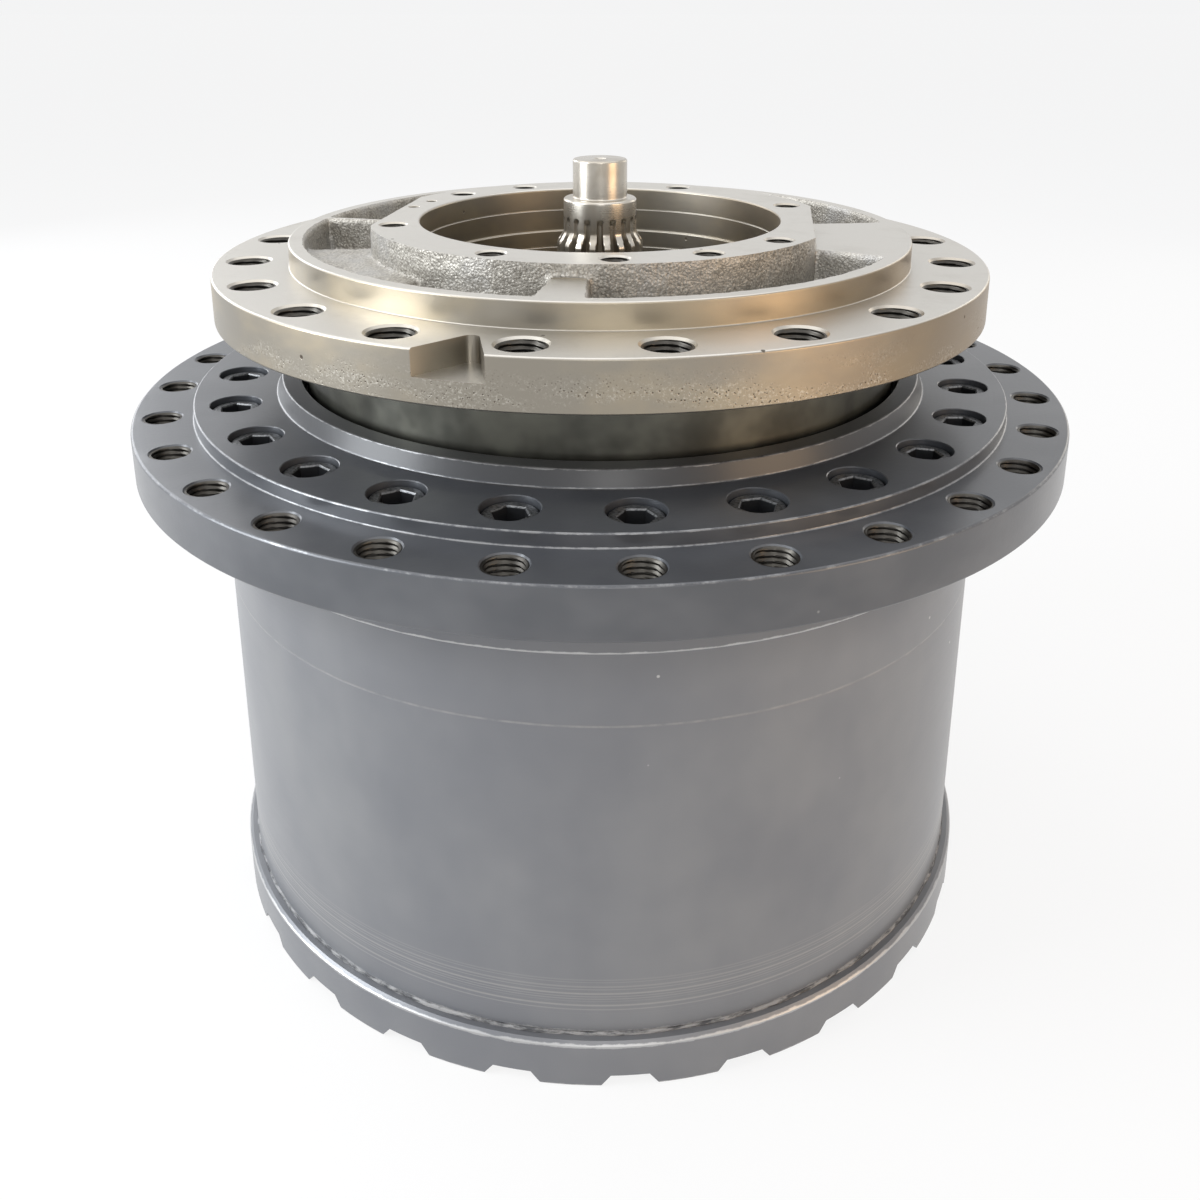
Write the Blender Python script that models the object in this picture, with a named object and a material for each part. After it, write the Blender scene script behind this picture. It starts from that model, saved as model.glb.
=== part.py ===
"""Two-stage planetary final drive of a crawler excavator.

The spindle bolts to the track frame and carries the travel motor. The hub and the
ring gear drum turn round it on two ball bearings and carry the sprocket. The drive
stands on its end cover, and every turning axis is parallel to +Z.
All sizes are in millimetres; MM turns them into metres.
"""

import bpy
import bmesh
from math import acos, cos, pi, radians, sin, tan
from mathutils import Matrix

MM = 0.001

# Facets and running gaps
VISIBLE_SEGMENTS = 40
HIDDEN_SEGMENTS = 24
PIN_SEGMENTS = 12
SHAFT_SEGMENTS = 16
HOLE_SEGMENTS = 8
SMALL_HOLE_SEGMENTS = 6
MERGE = 1e-6                 # metres, points closer than this are one
FLAT_ANGLE = radians(0.2)    # faces flatter than this to each other are one
GAP = 0.3                    # between faces that touch
OVERCUT = 1.0                # how far a cutter passes a face, or one solid enters another
SMOOTH_ANGLE = radians(35)

# Gear train
MODULE = 7.0
PRESSURE_ANGLE = radians(20)
ADDENDUM = 0.92              # times the module
DEDENDUM = 1.2               # times the module
TOOTH_PLAY = 0.6             # along the pitch circle
RING_TEETH = 48
INPUT_SUN_TEETH = 12
OUTPUT_SUN_TEETH = 12
PLANET_COUNT = 3
INPUT_PLANET_WIDTH = 38.0
OUTPUT_PLANET_WIDTH = 48.0
INPUT_PIN_R = 18.0
OUTPUT_PIN_R = 20.0
SIDE_PLAY = 3.0              # between gear faces and carrier plates
INPUT_PLATE = 16.0
INPUT_PLATE_EDGE = 26.0      # plate outside a pin's centre
INPUT_PLATE_WAIST = 54.0     # how far the plate draws in between its pins
OUTPUT_LOWER_PLATE = 11.0
OUTPUT_UPPER_PLATE = 14.0
OUTPUT_PLATE_PLAY = 12.0     # from the plate's edge to the ring gear's tooth tips
POST_R = 20.0
POST_INSET = 2.0             # post to the plate's edge
SUN_HUB_STEP = 1.7           # from the output sun's tooth root down to its hub
SUN_BORE_PLAY = 5.3
SUN_TEETH_LIFT = 2.0         # input carrier's plate to the output sun's teeth
SUN_OVERLAP = 1.0            # output sun's teeth beyond the planets

# End cover
COVER_HEIGHT = 25.0          # from the pads to the joint with the drum
COVER_STEP = 5.25            # how far the cover stands out beyond the drum
COVER_CHAMFER = 1.8
COVER_PLATE = 19.0
COVER_RECESS = 5.0           # how far the middle sits above the pads
COVER_SPIGOT = 6.0
COVER_SPIGOT_WALL = 10.0
COVER_SPIGOT_SLOPE = 5.0
PAD_WIDTH = 51.0             # along the radius
PAD_SLOPE = 2.0
NOTCH_COUNT = 24
NOTCH_DEPTH = 6.25
NOTCH_MOUTH = 27.9
NOTCH_ROOF = 18.2
NOTCH_RUNOUT = 8.0           # notch beyond the inside of the pads
NOTCH_ANGLE = 273.8          # degrees, centre of the notch nearest the front
PLUG_R = 12.0
PLUG_SUNK = 2.0
PLUG_CIRCLE_R = 112.0
PLUG_ANGLES = {"drain_plug": 258.75, "level_plug": 348.75, "filler_plug": 78.75}
THRUST_PAD_R = 18.0
THRUST_PAD = 12.0

# Ring gear drum
JOINT_STEP = 8.0             # spigot bore under the teeth
DRUM_CHAMFER = 1.6
COLLAR_STEP = 6.25
COLLAR_HEIGHT = 24.0
COLLAR_SLOPE = 4.0
TOOTH_RUNOUT = 4.0           # ring teeth beyond the output planets
TOOTH_OVERCUT = 4.0          # tooth-space cutter inside the ring's tooth tips

# Hub
SPIGOT_STEP = 7.6            # hub spigot beyond the ring gear's tooth root
SCREW_WALL = 14.5            # spigot to screw circle
SCREW_INSET = 9.25           # screw circle to the drum's outside
PILOT_RIM = 21.0             # screw circle to the edge of the sprocket pilot
SPROCKET_LAND = 15.5         # pilot edge to the sprocket bolt circle
SPROCKET_EDGE = 15.0         # bolt circle to the flange edge
SPROCKET_HOLES = 28
SPROCKET_HOLE_R = 9.5
SPROCKET_HOLE_ANGLE = 273.95
SPROCKET_FLANGE = 24.0
PILOT_STEP = 6.75
BOSS_STEP = 8.25
BOSS_LAND = 9.5
BOSS_SLOPE = 3.0
EDGE_CHAMFER = 1.5
EDGE_BREAK = 1.0             # smaller chamfers
WEB_LIP = 8.0                # hub web inside the seal pocket
BOSS_BORE_DEPTH = 9.0        # boss bore under the end of the spindle's neck
HUB_SHOULDER = 6.0           # between the outer races
HUB_SHOULDER_DEPTH = 8.0
BEARING_RISE = 2.0           # upper bearing above the flange's underside

# Hub screws
SCREW_COUNT = 24
SCREW_ANGLE = 274.3
SCREW_R = 8.0
SCREW_HEAD_R = 12.0
SCREW_HEAD = 16.0
SCREW_SUNK = 5.7             # head top under the pilot face
SCREW_LENGTH = 30.0
SCREW_TIP_PLAY = 2.0
SCREW_HOLE_PLAY = 0.4
SCREW_HEAD_PLAY = 0.85
HEX_KEY = 14.0
HEX_DEPTH = 8.0

# Bearings and seal
HUB_WALL = 14.0              # outer races to the outside of the hub spigot
BEARING_SECTION = 40.0
BEARING_WIDTH = 32.0
RACE_HIGH = 14.0             # thick side of a race
RACE_LOW = 9.0
BALLS = 12
CAGE_WAIST = 2.2
CAGE_MARGIN = 5.0            # race ends to cage ends
LOBE_TIP = 0.16              # half width of a ball's lobe, in ball pitches
LOBE_FOOT = 0.3
NUT_HEIGHT = 10.4
NUT_OVERHANG = 11.0
NUT_SLOTS = 4
NUT_SLOT_WIDTH = 16.0
NUT_SLOT_DEPTH = 5.0
THREAD_STEP = 5.7            # bearing seat down to the nut's thread
SHOULDER_STEP = 10.0         # bearing seat up to the spindle's shoulder
SEAL_SECTION = 16.3          # shoulder to the pocket that holds the seal
SKIRT_WALL = 5.0             # rim of the spindle round the seal
SEAL_BORE_PLAY = 3.3
SEAL_RING_HEIGHT = 14.5
SEAL_LIP = 1.5               # seal face inside the seal pocket
SEAL_TAPER = 4.5
SEAL_FACE_DROP = 3.0         # seal faces under the end of the neck
RUBBER_R = 1.9
RUBBER_HEIGHT = 9.9          # seal face to the middle of the rubber ring

# Spindle
NECK_PLAY = 3.5
NECK_DEPTH = 14.0            # spindle neck inside the hub boss
NECK_REACH = 35.0            # hub boss to the frame flange
NECK_FILLET = 4.0
FRAME_FLANGE = 23.5
FRAME_PILOT_STEP = 5.0       # neck to pilot disc, on the radius
FRAME_HOLE_INSET = 21.5
FRAME_EDGE = 17.5
FRAME_HOLES = 20
FRAME_HOLE_R = 10.9
FRAME_HOLE_ANGLE = 260.35
DISC_STEP = 12.5
MOTOR_RING_STEP = 6.75
MOTOR_PILOT_R = 97.5
MOTOR_PILOT_DEPTH = 26.0
MOTOR_STEP = 2.0             # each step of the well, on the radius
MOTOR_STEP_DEPTH = 20.0
WELL_DEPTH = 112.75
MOTOR_WALL = 26.5            # well to the outside of the motor ring
MOTOR_FLAT_CUT = 9.5         # how far the two flats cut into the ring
MOTOR_FLAT_ANGLE = -8.0
MOTOR_HOLE_INSET = 12.25     # outside of the ring to the bolt circle
MOTOR_HOLE_R = 6.8
MOTOR_HOLE_DEPTH = 25.0
MOTOR_HOLE_ANGLES = (17.0, 64.0, 115.0, 138.0, 194.0, 243.0, 273.5, 297.0, 322.0)
DOWEL_INSET = 14.25
DOWEL_R = 3.0
DOWEL_DEPTH = 12.0
DOWEL_ANGLES = (154.0, 165.0)
POCKET_RIM = 8.5
POCKET_DEPTH = 18.0
PAD_DEPTH = 9.0
POCKETS = (                  # start and end in degrees, and depth
    (170.0, 185.0, POCKET_DEPTH),
    (184.0, 227.0, PAD_DEPTH),
    (226.0, 259.4, POCKET_DEPTH),
    (268.0, 331.0, POCKET_DEPTH),
    (6.0, 84.0, POCKET_DEPTH),
    (96.0, 168.0, POCKET_DEPTH),
)
FRAME_NOTCH_ANGLE = 251.6
FRAME_NOTCH_INSET = 24.0     # inner corner from the flange edge
FRAME_NOTCH_DEPTH = 12.0
FRAME_NOTCH_SIDE = 40.0
SPINDLE_BORE_R = 58.0
SPLINE_BOSS_R = 76.0
BOSS_STAND = 1.0             # spindle end beyond the carrier's plate

# Sun shaft
SHAFT_R = 18.7
SHOULDER_R = 19.8
SHOULDER_DROP = 20.85        # shaft end down to the shoulder
NOSE_R = 14.7
NOSE_CHAMFER = 1.2
SHAFT_STAND = 31.0           # shaft end above the motor face
SPLINE_TEETH = 18
SPLINE_R = 23.5
SPLINE_ROOT_R = 18.95
SPLINE_TIP = 0.22            # half a tooth, in pitches
SPLINE_FOOT = 0.32
SPLINE_RUNOUT = 32.0         # shaft end down to the start of the grooves
SPLINE_FLARE = 19.0          # over which the teeth run out into the shoulder
SPLINE_LENGTH = 60.0
INPUT_SUN_OVERLAP = 2.0

# Radii that follow
ring_pitch_r = MODULE * RING_TEETH / 2
ring_tip_r = ring_pitch_r - ADDENDUM * MODULE
ring_root_r = ring_pitch_r + DEDENDUM * MODULE
spigot_r = ring_root_r + SPIGOT_STEP
screw_circle_r = spigot_r + SCREW_WALL
drum_r = screw_circle_r + SCREW_INSET
collar_r = drum_r + COLLAR_STEP
cover_r = drum_r + COVER_STEP
cover_spigot_r = ring_root_r + EDGE_CHAMFER - GAP
pilot_r = screw_circle_r + PILOT_RIM
sprocket_circle_r = pilot_r + SPROCKET_LAND
flange_r = sprocket_circle_r + SPROCKET_EDGE
bearing_outer_r = spigot_r - HUB_WALL
bearing_bore_r = bearing_outer_r - BEARING_SECTION
seat_r = bearing_bore_r - GAP
thread_r = seat_r - THREAD_STEP
seal_core_r = seat_r + SHOULDER_STEP
seal_pocket_r = seal_core_r + SEAL_SECTION
neck_r = seal_pocket_r + SKIRT_WALL
boss_bore_r = neck_r + NECK_PLAY
boss_r = boss_bore_r + BOSS_LAND
motor_ring_r = MOTOR_PILOT_R + MOTOR_WALL
motor_flat = motor_ring_r - MOTOR_FLAT_CUT
motor_circle_r = motor_ring_r - MOTOR_HOLE_INSET
dowel_circle_r = motor_ring_r - DOWEL_INSET
disc_r = neck_r + FRAME_PILOT_STEP
frame_circle_r = disc_r + FRAME_HOLE_INSET
frame_r = frame_circle_r + FRAME_EDGE
input_planet_teeth = (RING_TEETH - INPUT_SUN_TEETH) // 2
output_planet_teeth = (RING_TEETH - OUTPUT_SUN_TEETH) // 2
input_centre_r = MODULE * (INPUT_SUN_TEETH + input_planet_teeth) / 2
output_centre_r = MODULE * (OUTPUT_SUN_TEETH + output_planet_teeth) / 2
output_sun_root_r = MODULE * (OUTPUT_SUN_TEETH / 2 - DEDENDUM)
output_sun_tip_r = MODULE * (OUTPUT_SUN_TEETH / 2 + ADDENDUM)
sun_hub_r = output_sun_root_r - SUN_HUB_STEP
output_plate_r = ring_tip_r - OUTPUT_PLATE_PLAY

# Heights that follow, from the pads upwards
joint_z = COVER_HEIGHT
cover_floor_z = COVER_RECESS + COVER_PLATE
thrust_z = cover_floor_z + GAP + THRUST_PAD
input_planet_z = thrust_z + GAP
input_planet_top = input_planet_z + INPUT_PLANET_WIDTH
input_plate_z = input_planet_top + SIDE_PLAY
input_plate_top = input_plate_z + INPUT_PLATE
output_lower_z = input_plate_top + SIDE_PLAY
output_lower_top = output_lower_z + OUTPUT_LOWER_PLATE
output_planet_z = output_lower_top + SIDE_PLAY
output_planet_top = output_planet_z + OUTPUT_PLANET_WIDTH
output_upper_z = output_planet_top + SIDE_PLAY
output_upper_top = output_upper_z + OUTPUT_UPPER_PLATE
nut_z = output_upper_top + GAP
nut_top = nut_z + NUT_HEIGHT
bearing_z = nut_top + GAP
lower_race_top = bearing_z + BEARING_WIDTH
upper_race_z = lower_race_top + HUB_SHOULDER
bearing_top = upper_race_z + BEARING_WIDTH
flange_z = bearing_top - BEARING_RISE
flange_top = flange_z + SPROCKET_FLANGE
pilot_top = flange_top + PILOT_STEP
boss_top = pilot_top + BOSS_STEP
neck_z = boss_top - NECK_DEPTH
frame_z = boss_top + NECK_REACH
frame_top = frame_z + FRAME_FLANGE
disc_top = frame_top + DISC_STEP
motor_top = disc_top + MOTOR_RING_STEP
well_z = motor_top - WELL_DEPTH
shaft_top = motor_top + SHAFT_STAND
drum_z = joint_z + GAP
drum_top = flange_z - GAP
seal_face_z = neck_z - SEAL_FACE_DROP
web_top = seal_face_z - GAP / 2 - SEAL_RING_HEIGHT - GAP
skirt_top = seal_face_z + GAP / 2 + SEAL_RING_HEIGHT + GAP


# Shapes

def clear_scene():
    for old in list(bpy.data.objects):
        bpy.data.objects.remove(old)


def make_material(name, colour, roughness, metallic):
    material = bpy.data.materials.new(name)
    material.use_nodes = True
    shader = material.node_tree.nodes["Principled BSDF"]
    shader.inputs["Base Color"].default_value = (*colour, 1.0)
    shader.inputs["Roughness"].default_value = roughness
    shader.inputs["Metallic"].default_value = metallic
    material.diffuse_color = (*colour, 1.0)
    return material


def object_from(name, bm):
    """Close a bmesh, turn its faces outwards and put it in the scene."""
    bmesh.ops.remove_doubles(bm, verts=bm.verts, dist=1e-7)
    bmesh.ops.recalc_face_normals(bm, faces=bm.faces)
    mesh = bpy.data.meshes.new(name)
    bm.to_mesh(mesh)
    bm.free()
    piece = bpy.data.objects.new(name, mesh)
    bpy.context.scene.collection.objects.link(piece)
    return piece


def turned(name, profile, segments=HIDDEN_SEGMENTS):
    """Spin a profile of (radius, height) round Z; one that ends on the axis stays open there."""
    bm = bmesh.new()
    points = [bm.verts.new((r * MM, 0, z * MM)) for r, z in profile]
    edges = [bm.edges.new(pair) for pair in zip(points, points[1:])]
    if profile[0][0] > 0:
        edges.append(bm.edges.new((points[-1], points[0])))
    bmesh.ops.spin(bm, geom=points + edges, cent=(0, 0, 0), axis=(0, 0, 1),
                   angle=2 * pi, steps=segments, use_merge=True)
    return object_from(name, bm)


def loft(name, sections):
    """Join outlines of equal point count, each with its height, and cap both ends."""
    bm = bmesh.new()
    rings = []
    for outline, z in sections:
        rings.append([bm.verts.new((x * MM, y * MM, z * MM)) for x, y in outline])
    for low, high in zip(rings, rings[1:]):
        for i in range(len(low)):
            j = (i + 1) % len(low)
            bm.faces.new((low[i], low[j], high[j], high[i]))
    bm.faces.new(rings[0])
    bm.faces.new(rings[-1])
    return object_from(name, bm)


def prism(name, outline, z0, z1):
    return loft(name, [(outline, z0), (outline, z1)])


def polar(radius, angle):
    return radius * cos(angle), radius * sin(angle)


def circle(radius, segments, centre=(0.0, 0.0), turn=0.0):
    return [(centre[0] + radius * cos(turn + 2 * pi * i / segments),
             centre[1] + radius * sin(turn + 2 * pi * i / segments)) for i in range(segments)]


def hole_ring(name, count, start, circle_r, hole_r, z0, z1, segments=HOLE_SEGMENTS):
    """A cutter: equal round pegs on a bolt circle, each turned with its own angle."""
    angles = [radians(start) + 2 * pi * i / count for i in range(count)]
    return pegs(name, angles, circle_r, hole_r, z0, z1, segments)


def pegs(name, angles, circle_r, hole_r, z0, z1, segments=HOLE_SEGMENTS):
    bm = bmesh.new()
    for angle in angles:
        outline = circle(hole_r, segments, polar(circle_r, angle), angle + pi / segments)
        low = [bm.verts.new((x * MM, y * MM, z0 * MM)) for x, y in outline]
        high = [bm.verts.new((x * MM, y * MM, z1 * MM)) for x, y in outline]
        for i in range(segments):
            j = (i + 1) % segments
            bm.faces.new((low[i], low[j], high[j], high[i]))
        bm.faces.new(low)
        bm.faces.new(high)
    return object_from(name, bm)


def combine(piece, tool, operation="DIFFERENCE"):
    """Cut or join the piece with a tool, keep the result and drop the tool."""
    modifier = piece.modifiers.new("combine", "BOOLEAN")
    modifier.operation = operation
    modifier.solver = "EXACT"
    modifier.object = tool
    depsgraph = bpy.context.evaluated_depsgraph_get()
    bm = bmesh.new()
    bm.from_mesh(piece.evaluated_get(depsgraph).data)
    bmesh.ops.remove_doubles(bm, verts=bm.verts, dist=MERGE)
    bmesh.ops.dissolve_degenerate(bm, edges=bm.edges, dist=MERGE)
    bmesh.ops.dissolve_limit(bm, angle_limit=FLAT_ANGLE, verts=bm.verts, edges=bm.edges)
    piece.modifiers.clear()
    bm.to_mesh(piece.data)
    bm.free()
    bpy.data.objects.remove(tool)
    return piece


def finish(piece, material, body, centre=None):
    """Give the piece its material, smooth shading, body and own axis."""
    mesh = piece.data
    mesh.materials.clear()
    mesh.materials.append(material)
    if centre:
        offset = (centre[0] * MM, centre[1] * MM, 0.0)
        mesh.transform(Matrix.Translation([-value for value in offset]))
        piece.location = offset
    mesh.shade_smooth()
    mesh.set_sharp_from_angle(angle=SMOOTH_ANGLE)
    piece.parent = body
    return piece


# Gear teeth

def involute(angle):
    return tan(angle) - angle


def half_tooth(radius, teeth, play):
    """Half the angle that an involute tooth covers at a radius."""
    pitch_r = MODULE * teeth / 2
    base_r = pitch_r * cos(PRESSURE_ANGLE)
    at_pitch = (pi * MODULE / 2 - play) / 2 / pitch_r
    pressure = acos(min(1.0, base_r / radius))
    return at_pitch + involute(PRESSURE_ANGLE) - involute(pressure)


def gear_outline(teeth, root_r, tip_r, play, turn=0.0, centre=(0.0, 0.0)):
    outline = []
    root_half = half_tooth(root_r, teeth, play)
    tip_half = half_tooth(tip_r, teeth, play)
    for i in range(teeth):
        middle = turn + 2 * pi * i / teeth
        for radius, offset in ((root_r, -root_half), (tip_r, -tip_half),
                               (tip_r, tip_half), (root_r, root_half)):
            x, y = polar(radius, middle + offset)
            outline.append((centre[0] + x, centre[1] + y))
    return outline


def outer_gear(name, teeth, z0, z1, turn, centre=(0.0, 0.0)):
    pitch_r = MODULE * teeth / 2
    outline = gear_outline(teeth, pitch_r - DEDENDUM * MODULE, pitch_r + ADDENDUM * MODULE,
                           TOOTH_PLAY, turn, centre)
    return prism(name, outline, z0, z1)


def planet_angles(offset):
    return [offset + 2 * pi * i / PLANET_COUNT for i in range(PLANET_COUNT)]


def planet_turn(angle, teeth):
    """Turn of a planet that puts its tooth in the ring gear's space; ring tooth at 0."""
    return angle - (2 * pi / teeth) * (0.5 + angle * RING_TEETH / (2 * pi))


def sun_turn(angle, teeth, planet_teeth):
    """Turn of the sun that meshes with the planet placed by planet_turn."""
    phase = 0.5 - (angle + pi - planet_turn(angle, planet_teeth)) * planet_teeth / (2 * pi)
    return angle - (2 * pi / teeth) * phase


OUTPUT_ANGLES = planet_angles(pi / 2)
INPUT_ANGLES = planet_angles(pi / 6)


# Spindle side

def sector(name, start, end, inner_r, outer_r, z0, z1, step=12.0):
    """A cutter: part of a ring between two angles in degrees."""
    count = max(1, round((end - start) / step))
    angles = [radians(start + (end - start) * i / count) for i in range(count + 1)]
    outline = [polar(outer_r, angle) for angle in angles]
    outline += [polar(inner_r, angle) for angle in reversed(angles)]
    return prism(name, outline, z0, z1)


def motor_ring_outline():
    """A circle cut by two parallel flats."""
    half = acos(motor_flat / motor_ring_r)
    outline = []
    for side in range(2):
        start = radians(MOTOR_FLAT_ANGLE) + side * pi + half
        sweep = pi - 2 * half
        count = VISIBLE_SEGMENTS // 4
        outline += [polar(motor_ring_r, start + sweep * i / count) for i in range(count + 1)]
    return outline


def build_spindle():
    spindle = turned("spindle", [
        (SPINDLE_BORE_R, neck_z), (neck_r, neck_z), (neck_r, frame_z - NECK_FILLET),
        (neck_r + NECK_FILLET, frame_z), (frame_r - EDGE_BREAK, frame_z),
        (frame_r, frame_z + EDGE_BREAK),
        (frame_r, frame_top - EDGE_CHAMFER), (frame_r - EDGE_CHAMFER, frame_top),
        (disc_r, frame_top), (disc_r, disc_top - EDGE_CHAMFER),
        (disc_r - EDGE_CHAMFER, disc_top), (SPINDLE_BORE_R, disc_top),
    ], VISIBLE_SEGMENTS)
    skirt = turned("skirt", [
        (seat_r, neck_z - OVERCUT), (seal_pocket_r, neck_z - OVERCUT),
        (seal_pocket_r, skirt_top), (seat_r, skirt_top)])
    combine(spindle, skirt)
    for start, end, depth in POCKETS:
        pocket = sector("pocket", start, end, MOTOR_PILOT_R, disc_r - POCKET_RIM,
                        disc_top - depth, motor_top)
        combine(spindle, pocket)
    foot_z = disc_top - POCKET_DEPTH - OVERCUT
    motor_ring = prism("motor_ring", motor_ring_outline(), foot_z, motor_top)
    combine(spindle, motor_ring, "UNION")
    core = turned("core", [
        (SPINDLE_BORE_R, output_upper_z - BOSS_STAND),
        (SPLINE_BOSS_R, output_upper_z - BOSS_STAND),
        (SPLINE_BOSS_R, output_upper_top + BOSS_STAND),
        (thread_r, output_upper_top + BOSS_STAND),
        (thread_r, bearing_z), (seat_r, bearing_z), (seat_r, bearing_top + GAP),
        (seal_core_r, bearing_top + GAP), (seal_core_r, skirt_top + OVERCUT),
        (SPINDLE_BORE_R, skirt_top + OVERCUT)])
    combine(spindle, core, "UNION")
    well_r = MOTOR_PILOT_R - 2 * MOTOR_STEP
    pilot_z = motor_top - MOTOR_PILOT_DEPTH
    step_z = pilot_z - MOTOR_STEP_DEPTH
    well = turned("well", [
        (0, well_z), (well_r, well_z), (well_r, step_z), (well_r + MOTOR_STEP, step_z),
        (well_r + MOTOR_STEP, pilot_z), (MOTOR_PILOT_R, pilot_z),
        (MOTOR_PILOT_R, motor_top - EDGE_CHAMFER), (MOTOR_PILOT_R + 2 * EDGE_CHAMFER,
                                                    motor_top + EDGE_CHAMFER),
        (0, motor_top + EDGE_CHAMFER)], VISIBLE_SEGMENTS)
    combine(spindle, well)
    combine(spindle, hole_ring("frame_holes", FRAME_HOLES, FRAME_HOLE_ANGLE, frame_circle_r,
                               FRAME_HOLE_R, frame_z - OVERCUT, frame_top + OVERCUT))
    motor_angles = [radians(angle) for angle in MOTOR_HOLE_ANGLES]
    combine(spindle, pegs("motor_holes", motor_angles, motor_circle_r, MOTOR_HOLE_R,
                          motor_top - MOTOR_HOLE_DEPTH, motor_top + OVERCUT))
    dowel_angles = [radians(angle) for angle in DOWEL_ANGLES]
    combine(spindle, pegs("dowel_holes", dowel_angles, dowel_circle_r, DOWEL_R,
                          motor_top - DOWEL_DEPTH, motor_top + OVERCUT, SMALL_HOLE_SEGMENTS))
    return combine(spindle, frame_notch())


def frame_notch():
    """A cutter: square milled corner in the frame flange, pointing at the axis."""
    corner_r = frame_r - FRAME_NOTCH_INSET
    angle = radians(FRAME_NOTCH_ANGLE)
    middle = polar(corner_r + FRAME_NOTCH_SIDE / 2 ** 0.5, angle)
    outline = circle(FRAME_NOTCH_SIDE / 2 ** 0.5, 4, middle, angle)
    return prism("frame_notch", outline, frame_top - FRAME_NOTCH_DEPTH, frame_top + OVERCUT)


def build_nut():
    nut = turned("retaining_nut", [
        (thread_r + GAP, nut_z), (thread_r + NUT_OVERHANG, nut_z),
        (thread_r + NUT_OVERHANG, nut_top), (thread_r + GAP, nut_top)])
    for i in range(NUT_SLOTS):
        angle = 2 * pi * i / NUT_SLOTS + pi / HIDDEN_SEGMENTS
        outline = []
        for reach, side in ((-NUT_SLOT_DEPTH, -1), (OVERCUT, -1), (OVERCUT, 1),
                            (-NUT_SLOT_DEPTH, 1)):
            x, y = thread_r + NUT_OVERHANG + reach, side * NUT_SLOT_WIDTH / 2
            outline.append((x * cos(angle) - y * sin(angle), x * sin(angle) + y * cos(angle)))
        combine(nut, prism("slot", outline, nut_z - OVERCUT, nut_top + OVERCUT))
    return nut


# Hub side

def build_hub():
    bore = seal_pocket_r - WEB_LIP
    boss_bore_z = neck_z - BOSS_BORE_DEPTH
    web_z = bearing_z - BEARING_RISE
    hub = turned("hub", [
        (bore, web_z), (spigot_r, web_z), (spigot_r, flange_z),
        (flange_r - EDGE_CHAMFER, flange_z), (flange_r, flange_z + EDGE_CHAMFER),
        (flange_r, flange_top - EDGE_CHAMFER), (flange_r - EDGE_CHAMFER, flange_top),
        (pilot_r, flange_top), (pilot_r, pilot_top - EDGE_BREAK),
        (pilot_r - EDGE_BREAK, pilot_top),
        (boss_r + BOSS_SLOPE, pilot_top), (boss_r, boss_top), (boss_bore_r, boss_top),
        (boss_bore_r, boss_bore_z), (bore, boss_bore_z)], VISIBLE_SEGMENTS)
    race_r = bearing_outer_r + GAP
    inside = bore - OVERCUT
    shoulder_r = race_r - HUB_SHOULDER_DEPTH
    combine(hub, turned("bearing_seats", [
        (inside, web_z - OVERCUT), (race_r, web_z - OVERCUT), (race_r, lower_race_top + GAP),
        (shoulder_r, lower_race_top + GAP), (shoulder_r, upper_race_z - GAP),
        (race_r, upper_race_z - GAP), (race_r, bearing_top + GAP),
        (inside, bearing_top + GAP)]))
    combine(hub, turned("seal_pocket", [
        (inside, web_top), (seal_pocket_r, web_top), (seal_pocket_r, boss_bore_z + OVERCUT),
        (inside, boss_bore_z + OVERCUT)]))
    combine(hub, hole_ring("sprocket_holes", SPROCKET_HOLES, SPROCKET_HOLE_ANGLE,
                           sprocket_circle_r, SPROCKET_HOLE_R, flange_z - OVERCUT,
                           flange_top + OVERCUT))
    seat_z = pilot_top - SCREW_SUNK - SCREW_HEAD - GAP
    combine(hub, hole_ring("counterbores", SCREW_COUNT, SCREW_ANGLE, screw_circle_r,
                           SCREW_HEAD_R + SCREW_HEAD_PLAY, seat_z, pilot_top + OVERCUT))
    return combine(hub, screw_holes(flange_z - OVERCUT, seat_z + OVERCUT))


def screw_holes(z0, z1):
    return hole_ring("screw_holes", SCREW_COUNT, SCREW_ANGLE, screw_circle_r,
                     SCREW_R + SCREW_HOLE_PLAY, z0, z1, SMALL_HOLE_SEGMENTS)


def build_ring_gear():
    joint_r = cover_spigot_r + GAP
    teeth_z = joint_z + JOINT_STEP
    teeth_top = output_planet_top + TOOTH_RUNOUT
    drum = turned("ring_gear", [
        (joint_r, drum_z), (drum_r - DRUM_CHAMFER, drum_z), (drum_r, drum_z + DRUM_CHAMFER),
        (drum_r, drum_top - COLLAR_HEIGHT - COLLAR_SLOPE),
        (collar_r, drum_top - COLLAR_HEIGHT), (collar_r, drum_top),
        (spigot_r + GAP, drum_top), (spigot_r + GAP, teeth_top), (ring_tip_r, teeth_top),
        (ring_tip_r, teeth_z), (joint_r, teeth_z)], VISIBLE_SEGMENTS)
    spaces = gear_outline(RING_TEETH, ring_tip_r - TOOTH_OVERCUT, ring_root_r, -TOOTH_PLAY,
                          pi / RING_TEETH)
    combine(drum, prism("tooth_spaces", spaces, teeth_z - OVERCUT, teeth_top + OVERCUT))
    tip_z = pilot_top - SCREW_SUNK - SCREW_HEAD - SCREW_LENGTH
    return combine(drum, screw_holes(tip_z - SCREW_TIP_PLAY, drum_top + OVERCUT))


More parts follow.
